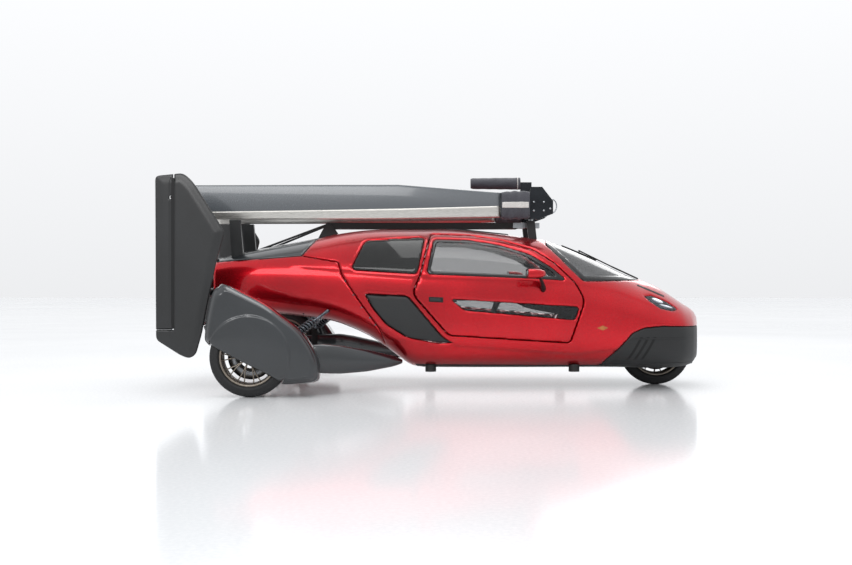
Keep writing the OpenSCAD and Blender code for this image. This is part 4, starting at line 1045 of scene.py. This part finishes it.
x = np.concatenate([np.linspace(-1.825, -1.815, 4), np.linspace(-1.80, 0.467, 60)])[:, None]
around = np.linspace(0, 2 * np.pi, 64, endpoint=False)[None]
parts = [closed_rings("blade", blade_skin(x, around, side), blade_paint) for side in (1, -1)]
blades = joined("blade_pair", parts)
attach(blades, "rotor")
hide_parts("rotor_blades")
strips = []
for side in (1, -1):
    x = np.linspace(-1.79, 0.462, 60)[:, None]
    tall = np.interp(x, [-1.8, 0.46], [0.056, 0.086])
    chord = np.interp(x, [-0.3, 0.205, 0.467], [0.256, 0.210, 0.186])
    reach = np.arccos(1 - 2 * tall / chord)
    around = reach * np.linspace(-1, 1, 25)[None]
    strip = as_object(
        "strip", blade_skin(x, around, side, 0.0012), sheet_faces(60, 25)[:, ::side], strip_alloy
    )
    wall = strip.modifiers.new("wall", "SOLIDIFY")
    wall.thickness, wall.offset = 0.001, 0
    strips.append(strip)
strips = joined("blade_edge_strips", strips)
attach(strips, "rotor")


def woven(name, dark, light, thread, rough, relief):
    """Cloth: two sets of threads at right angles, each a sine along its own direction, over and under in
    turn, with a fine fuzz. The thread is drawn a few times its real size so that it shows."""
    mat = bpy.data.materials.new(name)
    mat.use_nodes = True
    tree = mat.node_tree
    tree.nodes.clear()
    place = add(tree, "ShaderNodeTexCoord").outputs["Object"]
    bent = add(tree, "ShaderNodeVectorMath", {0: place, 1: (1, 0.6, 0)}, operation="MULTIPLY").outputs[0]
    part = add(tree, "ShaderNodeSeparateXYZ", {0: bent})
    lengthwise = add(
        tree, "ShaderNodeMath", {0: part.outputs[0], 1: part.outputs[1]}, operation="ADD"
    ).outputs[0]
    upright = add(tree, "ShaderNodeSeparateXYZ", {0: place}).outputs[2]
    waves = []
    for along in (lengthwise, upright):
        turn = add(tree, "ShaderNodeMath", {0: along, 1: 2 * np.pi / thread}, operation="MULTIPLY").outputs[0]
        waves.append(add(tree, "ShaderNodeMath", {0: turn}, operation="SINE").outputs[0])
    cross = add(tree, "ShaderNodeMath", {0: waves[0], 1: waves[1]}, operation="MULTIPLY").outputs[0]
    fuzz = add(tree, "ShaderNodeTexNoise", {"Vector": place, "Scale": 260.0, "Detail": 3.0}).outputs["Fac"]
    height = add(tree, "ShaderNodeMath", {0: cross, 1: 0.5, 2: fuzz}, operation="MULTIPLY_ADD").outputs[0]
    spread = add(tree, "ShaderNodeMapRange", {0: height, 1: 0.0, 2: 1.0}).outputs[0]
    colour = add(
        tree, "ShaderNodeMix", {0: spread, 6: linear(dark), 7: linear(light)}, data_type="RGBA"
    ).outputs[2]
    bump = add(tree, "ShaderNodeBump", {"Height": height, "Distance": relief}).outputs[0]
    shader = add(tree, "ShaderNodeBsdfPrincipled", {
        "Base Color": colour, "Roughness": rough, "Normal": bump, "Sheen Weight": 0.25,
        "Sheen Roughness": 0.5,
    })
    add(tree, "ShaderNodeOutputMaterial", {"Surface": shader.outputs[0]})
    return mat


cover_cloth = woven("coated nylon cover cloth", "#25252b", "#3e3e47", 0.004, 0.62, 0.0005)
stripe_tape = woven("reflective woven tape", "#a5a19d", "#d2cecb", 0.003, 0.40, 0.0003)


def sleeve(x, around, side, out=0.0):
    """A cover over a blade root: an upright oval that swells and puckers lengthwise, tied in at both ends,
    with sines of growing number for the creases."""
    t = (x - 0.467) / 0.215
    full = 1 - 0.10 * np.abs(2 * t - 1) ** 6
    crease_depth = 0.0035 * np.sin(9 * t + 2 * np.sin(around)) * np.sin(3 * around + 5 * t)
    crease_depth = crease_depth + 0.002 * np.sin(23 * t + around)
    tall, wide = 0.104 * full + crease_depth + out, 0.033 * full + 0.6 * crease_depth + out
    c, s = np.cos(around), np.sin(around)
    y = side * 0.306 + wide * np.sign(s) * np.abs(s) ** 0.75
    return np.stack([x + 0 * s, y, blade_low + 0.106 - tall * np.sign(c) * np.abs(c) ** 0.85], -1)


around = np.linspace(0, 2 * np.pi, 72, endpoint=False)[None]
cover_parts, tape_parts = [], []
for side in (1, -1):
    x = np.linspace(0.468, 0.680, 70)[:, None]
    cover_parts.append(
        as_object("cover", sleeve(x, around, side), sheet_faces(70, 72, ring=True), cover_cloth)
    )
    x = np.linspace(0.474, 0.672, 50)[:, None]
    for middle in (np.pi / 2, -np.pi / 2):
        angle = middle + np.linspace(-0.16, 0.16, 7)[None]
        tape_parts.append(as_object("tape", sleeve(x, angle, side, 0.0022), sheet_faces(50, 7), stripe_tape))
for o in cover_parts + tape_parts:
    wall = o.modifiers.new("wall", "SOLIDIFY")
    wall.thickness, wall.offset = 0.002, 0
for side, label in ((0, "left"), (1, "right")):
    cover = joined(f"blade_root_cover_{label}", [cover_parts[side]])
    tape = joined(f"cover_stripe_{label}", tape_parts[2 * side : 2 * side + 2])
    for piece in (cover, tape):
        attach(piece, "rotor")
    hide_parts("blade_covers")

tube_back, tube_front, tube_out, tube_up = 0.258, 0.650, 0.140, blade_low + 0.310
along = np.linspace(0, 1, 60)
x = np.concatenate([[tube_back] * 2, np.linspace(tube_back, tube_front, 60), [tube_front] * 2])[:, None]
full = np.interp(along, [0, 0.05, 0.9, 0.93, 1], [0.80, 0.92, 1.0, 1.02, 1.0])
full = 0.047 * np.concatenate([[0.05, 0.7], full, [0.85, 0.05]])[:, None]
around = np.linspace(0, 2 * np.pi, 48, endpoint=False)[None]
pucker = 1 + 0.025 * np.sin(30 * x + 2 * around) * np.sin(2 * around) + 0.012 * np.sin(70 * x + around)
tube_sleeve = closed_rings("tube_cover", np.stack([
    x + 0 * around, tube_out + full * pucker * np.cos(around), tube_up + full * pucker * np.sin(around)
], -1), cover_cloth)
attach(tube_sleeve, "rotor")
ring_angle = np.linspace(0, 2 * np.pi, 64, endpoint=False)
hoop = np.stack([
    0 * ring_angle + 0.628, tube_out + 0.0475 * np.cos(ring_angle), tube_up + 0.0475 * np.sin(ring_angle)
], -1)
band = pipe("tube_cover_band", hoop, 0.0035, stripe_tape, 8, loop=True)
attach(band, "rotor")


# ---------------------------------------------------------------- mirrors Moulded mirror heads on a flared
# stalk, sprayed with the body, with the glass sunk in a black bezel at the back.
mirror_glass = worked(
    "silvered mirror glass", "#aeb4b8", "#c6cbce", 0.03, (0.015, 0.03), patch=0.2, Metallic=1.0
)
for side, label in ((1, "left"), (-1, "right")):
    low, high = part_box(f"mirror_{label}")
    outer = max(abs(low[1]), abs(high[1]))
    t = np.linspace(0, 1, 22)[:, None]
    turn = np.linspace(0, 2 * np.pi, 56, endpoint=False)[None]
    bulge = np.sqrt(np.clip(1 - (1 - t) ** 2.6, 0, 1))
    c, s = np.cos(turn), np.sin(turn)
    head = closed_rings("head", np.stack([
        0.742 - 0.130 * t + 0 * turn,
        side * (outer - 0.092 + bulge * 0.088 * np.sign(c) * np.abs(c) ** 0.55),
        0.853 + bulge * (0.037 - 0.004 * t) * np.sign(s) * np.abs(s) ** 0.6,
    ], -1), clear_coated_red)
    inward = t[:3] / t[2]
    glass = closed_rings("glass", np.stack([
        0.6125 - 0.004 * inward + 0 * turn,
        side * (outer - 0.092 + 0.078 * (1 - 0.9 * inward) * np.sign(c) * np.abs(c) ** 0.55),
        0.853 + 0.028 * (1 - 0.9 * inward) * np.sign(s) * np.abs(s) ** 0.6,
    ], -1), mirror_glass)
    bezel = pipe("bezel", np.stack([
        0.6120 + 0 * turn[0], side * (outer - 0.092 + 0.083 * np.sign(c[0]) * np.abs(c[0]) ** 0.55),
        0.853 + 0.031 * np.sign(s[0]) * np.abs(s[0]) ** 0.6,
    ], -1), 0.0026, matt_black, 10, loop=True)
    stalk = pipe("stalk", [
        (0.745, side * 0.640, 0.748), (0.742, side * 0.665, 0.760), (0.730, side * 0.705, 0.788),
        (0.714, side * 0.755, 0.815), (0.700, side * 0.800, 0.832), (0.690, side * 0.840, 0.842),
    ], np.stack([
        np.array([0.030, 0.026, 0.020, 0.017, 0.016, 0.015]),
        np.array([0.020, 0.016, 0.012, 0.010, 0.010, 0.010])
    ], -1), matt_black, 20)
    mirror = joined(f"mirror_piece_{label}", [head, glass, bezel, stalk])
    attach(mirror, f"door_{label}")
    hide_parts(f"mirror_{label}")


# ---------------------------------------------------------------- cabin A pressed floor under needled
# carpet, a soft-touch dashboard with two plain displays, and two seats: sewn cloth pads over foam in moulded
# shells.
carpet = worked("needled floor carpet", "#151618", "#242528", 0.004, (0.88, 0.97), relief=0.0012, patch=0.25)
soft_touch = worked(
    "soft-touch moulded dashboard", "#141416", "#222225", 0.003, (0.55, 0.68), relief=0.0003, patch=0.3
)
seat_cloth = woven("woven seat cloth over foam", "#232327", "#3a3a40", 0.004, 0.78, 0.0004)
shell_plastic = worked(
    "moulded seat shell", "#141517", "#202225", 0.003, (0.40, 0.52), relief=0.0002, patch=0.3
)
display_glass = worked("display under hard glass", "#06080a", "#0d1114", 0.03, (0.04, 0.08), patch=0.2)


def finished(node, material):
    """A carried-over CAD node with a finish in every one of its material slots."""
    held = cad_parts[node]
    for k in range(len(held.material_slots)):
        held.material_slots[k].link = "OBJECT"
        held.material_slots[k].material = material


finished("dashboard", soft_touch)
finished("seat_shells", shell_plastic)
rim_leather = worked(
    "grained leather rim cover", "#131314", "#202022", 0.0025, (0.42, 0.55), relief=0.0004, patch=0.1
)
finished("steering_wheel", rim_leather)
x, v = np.meshgrid(np.linspace(-0.62, 1.355, 90), np.linspace(-1, 1, 61), indexing="ij")
wide = np.minimum(on_skin(x, 0.20 + 0 * x, 1)[..., 1] - 0.036, 0.585)
ribs = 0.003 * np.cos(2 * np.pi * v * wide / 0.11) ** 8
pan = as_object(
    "cabin_floor", np.stack([x, v * wide, 0.2085 + ribs], -1), sheet_faces(90, 61)[:, ::-1], carpet
)
wall = pan.modifiers.new("wall", "SOLIDIFY")
wall.thickness, wall.offset = 0.006, -1
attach(pan, "airframe")

screens = []
for y0, half in ((0.262, 0.130), (-0.115, 0.150)):
    screens.append(
        lump("case", (0.676, y0, 0.735), (0.014, half + 0.010, 0.062), soft_touch, 7.0, 20, lean=0.28)
    )
    screens.append(lump("face", (0.6645, y0, 0.738), (0.004, half, 0.052), display_glass, 9.0, 18, lean=0.28))
screens = joined("dash_displays", screens)
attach(screens, "airframe")


def pad_block(length, width, thick, crown):
    """A rounded block of foam, start shape for the sewing: a superellipsoid of power 7 with its top raised
    towards the middle by (1 - u^2)(1 - v^2) times the crown."""
    made = lump("foam", (0, 0, 0), (length / 2, width / 2, thick / 2), seat_cloth, 7.0, 40)
    flat = np.empty(len(made.data.vertices) * 3)
    made.data.vertices.foreach_get("co", flat)
    p = flat.reshape(-1, 3)
    u, v = 2 * p[:, 0] / length, 2 * p[:, 1] / width
    p[:, 2] += np.where(p[:, 2] > 0, crown * np.clip(1 - u**2, 0, 1) * np.clip(1 - v**2, 0, 1), 0)
    made.data.vertices.foreach_set("co", p.ravel())
    return made


def stuffed(made, cap):
    """The pad blown up as cloth with the foam's pressure, each point moving no further than the cap."""
    cut = made.modifiers.new("cut", "REMESH")
    cut.mode, cut.voxel_size = "VOXEL", 0.006
    with bpy.context.temp_override(object=made, active_object=made):
        bpy.ops.object.modifier_apply(modifier="cut")
    before = np.empty(len(made.data.vertices) * 3)
    made.data.vertices.foreach_get("co", before)
    cloth = made.modifiers.new("cloth", "CLOTH")
    cloth.settings.use_pressure, cloth.settings.uniform_pressure_force = True, 4
    cloth.settings.effector_weights.gravity = 0
    cloth.point_cache.frame_start, cloth.point_cache.frame_end = 1, 20
    for step in range(1, 21):
        bpy.context.scene.frame_set(step)
    with bpy.context.temp_override(object=made, active_object=made):
        bpy.ops.object.modifier_apply(modifier="cloth")
    bpy.context.scene.frame_set(1)
    after = np.empty_like(before)
    made.data.vertices.foreach_get("co", after)
    p, moved = before.reshape(-1, 3), (after - before).reshape(-1, 3)
    far = np.linalg.norm(moved, axis=1, keepdims=True)
    return p + moved * np.minimum(1, cap / np.maximum(far, 1e-9))


def sewn(p, length, width, panels):
    """Sewn channels on the upper face: the face sinks by a narrow bell across each seam line, two lengthwise
    and the rest crosswise."""
    u, v = p[:, 0], p[:, 1]
    bell = lambda d: np.exp(-((d / 0.007) ** 2))
    lengthwise = bell(np.abs(v) - 0.28 * width)
    crosswise = np.max([bell(u - x0) for x0 in np.linspace(-0.5, 0.5, panels + 1)[1:-1] * length], 0)
    crosswise *= np.abs(v) < 0.28 * width
    p[:, 2] -= np.where(p[:, 2] > 0, 0.009 * np.maximum(lengthwise, crosswise), 0)
    return p


for name, node, length, width, thick, panels in (
    ("seat_cushion", "seat_cushions", 0.440, 0.372, 0.088, 4),
    ("seat_back", "seat_backs", 0.500, 0.372, 0.064, 5),
):
    low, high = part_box(node)
    foam = pad_block(length, width, thick, 0.004)
    p = sewn(stuffed(foam, 0.012), length, width, panels)
    widest = np.array([length, width]) / 2 + 0.010
    p[:, :2] = np.clip(p[:, :2], -widest, widest)
    if node == "seat_backs":
        lean = np.radians(20)
        up, ahead = np.array([-np.sin(lean), 0, np.cos(lean)]), np.array([np.cos(lean), 0, np.sin(lean)])
        middle = np.array([(low[0] + high[0]) / 2 - 0.002, 0, (low[2] + high[2]) / 2 + 0.004])
        p = middle + p[:, :1] * up + p[:, 1:2] * np.array([0, 1, 0]) + p[:, 2:] * ahead
    else:
        middle = np.array([(low[0] + high[0]) / 2, 0, (low[2] + high[2]) / 2 - 0.004])
        p = middle + p
    for side, label in ((1, "left"), (-1, "right")):
        pad = foam.copy()
        pad.data = foam.data.copy()
        pad.name = f"{name}_{label}"
        bpy.context.scene.collection.objects.link(pad)
        placed = p + np.array([0, side * 0.262, 0])
        pad.data.vertices.foreach_set("co", placed.ravel())
        pad.data.update()
        if node == "seat_backs":
            pad.data.flip_normals()
        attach(pad, "airframe")
        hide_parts(node)
    bpy.data.objects.remove(foam)


# ---------------------------------------------------------------- front wheel well
# A vacuum-formed liner over the front wheel, fixed inside the nose.
dome = np.linspace(0.15, np.pi / 2, 8)
wall_reach = wheel_well[1] + 0.002
height = np.concatenate([[0.172], np.linspace(0.19, 0.52, 14), 0.52 + 0.075 * np.sin(dome)])
reach = np.concatenate([[wheel_well[1]], np.full(14, wall_reach), wall_reach * (0.35 + 0.65 * np.cos(dome))])
turn = np.linspace(0, 2 * np.pi, 96, endpoint=False)[None]
inner = on_skin(
    np.minimum(wheel_well[0] + reach[:, None] * np.cos(turn), 1.96), 0.30 + 0 * turn, 1
)[..., 1] - 0.03
y = np.clip(reach[:, None] * np.sin(turn), -np.abs(inner), np.abs(inner))
liner = as_object("wheel_well_liner", np.stack([
    np.minimum(wheel_well[0] + reach[:, None] * np.cos(turn), 1.955), y, height[:, None] + 0 * turn
], -1), sheet_faces(len(height), 96, ring=True)[:, ::-1], grained_black)
wall = liner.modifiers.new("wall", "SOLIDIFY")
wall.thickness, wall.offset = 0.003, 1
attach(liner, "airframe")


# ---------------------------------------------------------------- mast, rotor head and running gear Machined
# alloy and welded steel, anodised or powder coated black, with plated bolt heads, and the moulded blades of
# the propeller. The tray on the roof and the wire loop on the hub are moulded and bent from rod.
powder_black = worked(
    "powder coated steel", "#141516", "#1f2122", 0.002, (0.42, 0.56), relief=0.0002, patch=0.2, Metallic=0.2
)
anodised = worked(
    "black anodised machined alloy", "#1c1e21", "#2c2f33", 0.0018, (0.28, 0.42), patch=0.15,
    stretch=(0.2, 1, 1),
    Metallic=0.8,
)
machined = worked(
    "machined bare alloy", "#8b8e92", "#b4b7ba", 0.0015, (0.25, 0.38), patch=0.1, stretch=(1, 5, 1),
    Metallic=1.0
)
cast_iron = worked(
    "cast and painted engine block", "#2e3033", "#46494d", 0.004, (0.5, 0.7), relief=0.0006, patch=0.15,
    Metallic=0.5
)
laminate_black = worked(
    "carbon laminate under lacquer", "#0c0d0e", "#1b1c1e", 0.004, (0.2, 0.3), patch=0.2, stretch=(1, 1, 3),
    **{"Coat Weight": 0.8, "Coat Roughness": 0.05},
)
wiper_rubber = worked("rubber and lacquered wiper steel", "#0b0b0c", "#161617", 0.003, (0.5, 0.65), patch=0.1)
for node, material in (
    ("firewall", machined), ("engine_block", cast_iron), ("wiper", wiper_rubber),
    ("blade_rests", powder_black),
    ("mast_mount", powder_black), ("steering_head", powder_black), ("door_hinges", anodised),
    ("jack_pads", grained_black),
    ("boom_sleeves", anodised), ("propeller_gearbox", anodised), ("front_fork", powder_black),
    ("mast", powder_black),
    ("rotor_head", machined), ("rotor_hub", anodised), ("propeller", laminate_black),
    ("boom_stage", slate_lacquer),
    ("tail_carrier", slate_lacquer),
):
    finished(node, material)

bolts = []
bolt_profile = np.array([(0.0, 0.0), (0.0085, 0.0), (0.0085, 0.004), (0.006, 0.006), (0.0, 0.006)])
for side in (1, -1):
    for x0, z0 in ((0.715, 1.330), (0.715, 1.395), (0.790, 1.330), (0.790, 1.395), (0.838, 1.345)):
        bolts.append(turned("bolt", bolt_profile * [1, side], (x0, side * 0.285, z0), machined, steps=6))
low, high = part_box("rotor_hub")
angle = np.linspace(-0.5 * np.pi, 0.5 * np.pi, 26)
for side in (1, -1):
    bolts.append(pipe("loop", np.concatenate([
        [[high[0] - 0.012, side * 0.270, 1.318]],
        np.stack([
            high[0] - 0.006 + 0.034 * np.cos(angle), 0 * angle + side * 0.270, 1.365 + 0.050 * np.sin(angle)
        ], -1),
        [[high[0] - 0.012, side * 0.270, 1.412]],
    ]), 0.0045, machined, 12))
bolts = joined("hub_bolts_and_loops", bolts)
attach(bolts, "rotor")

x, v = np.meshgrid(np.linspace(0.06, 0.54, 60), np.linspace(-1, 1, 25), indexing="ij")
rise = rail_at(crown_rail, x)
tray = as_object("roof_tray", np.stack([
    x, 0.105 * v * np.interp(x, [0.06, 0.12, 0.48, 0.54], [0.8, 1, 1, 0.8]),
    rise + 0.004 - 0.006 * v**2 + 0.010 * np.cos(np.pi * v / 2),
], -1), sheet_faces(60, 25)[:, ::-1], grained_black)
wall = tray.modifiers.new("wall", "SOLIDIFY")
wall.thickness, wall.offset = 0.010, -1
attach(tray, "airframe")

bpy.context.view_layer.update()
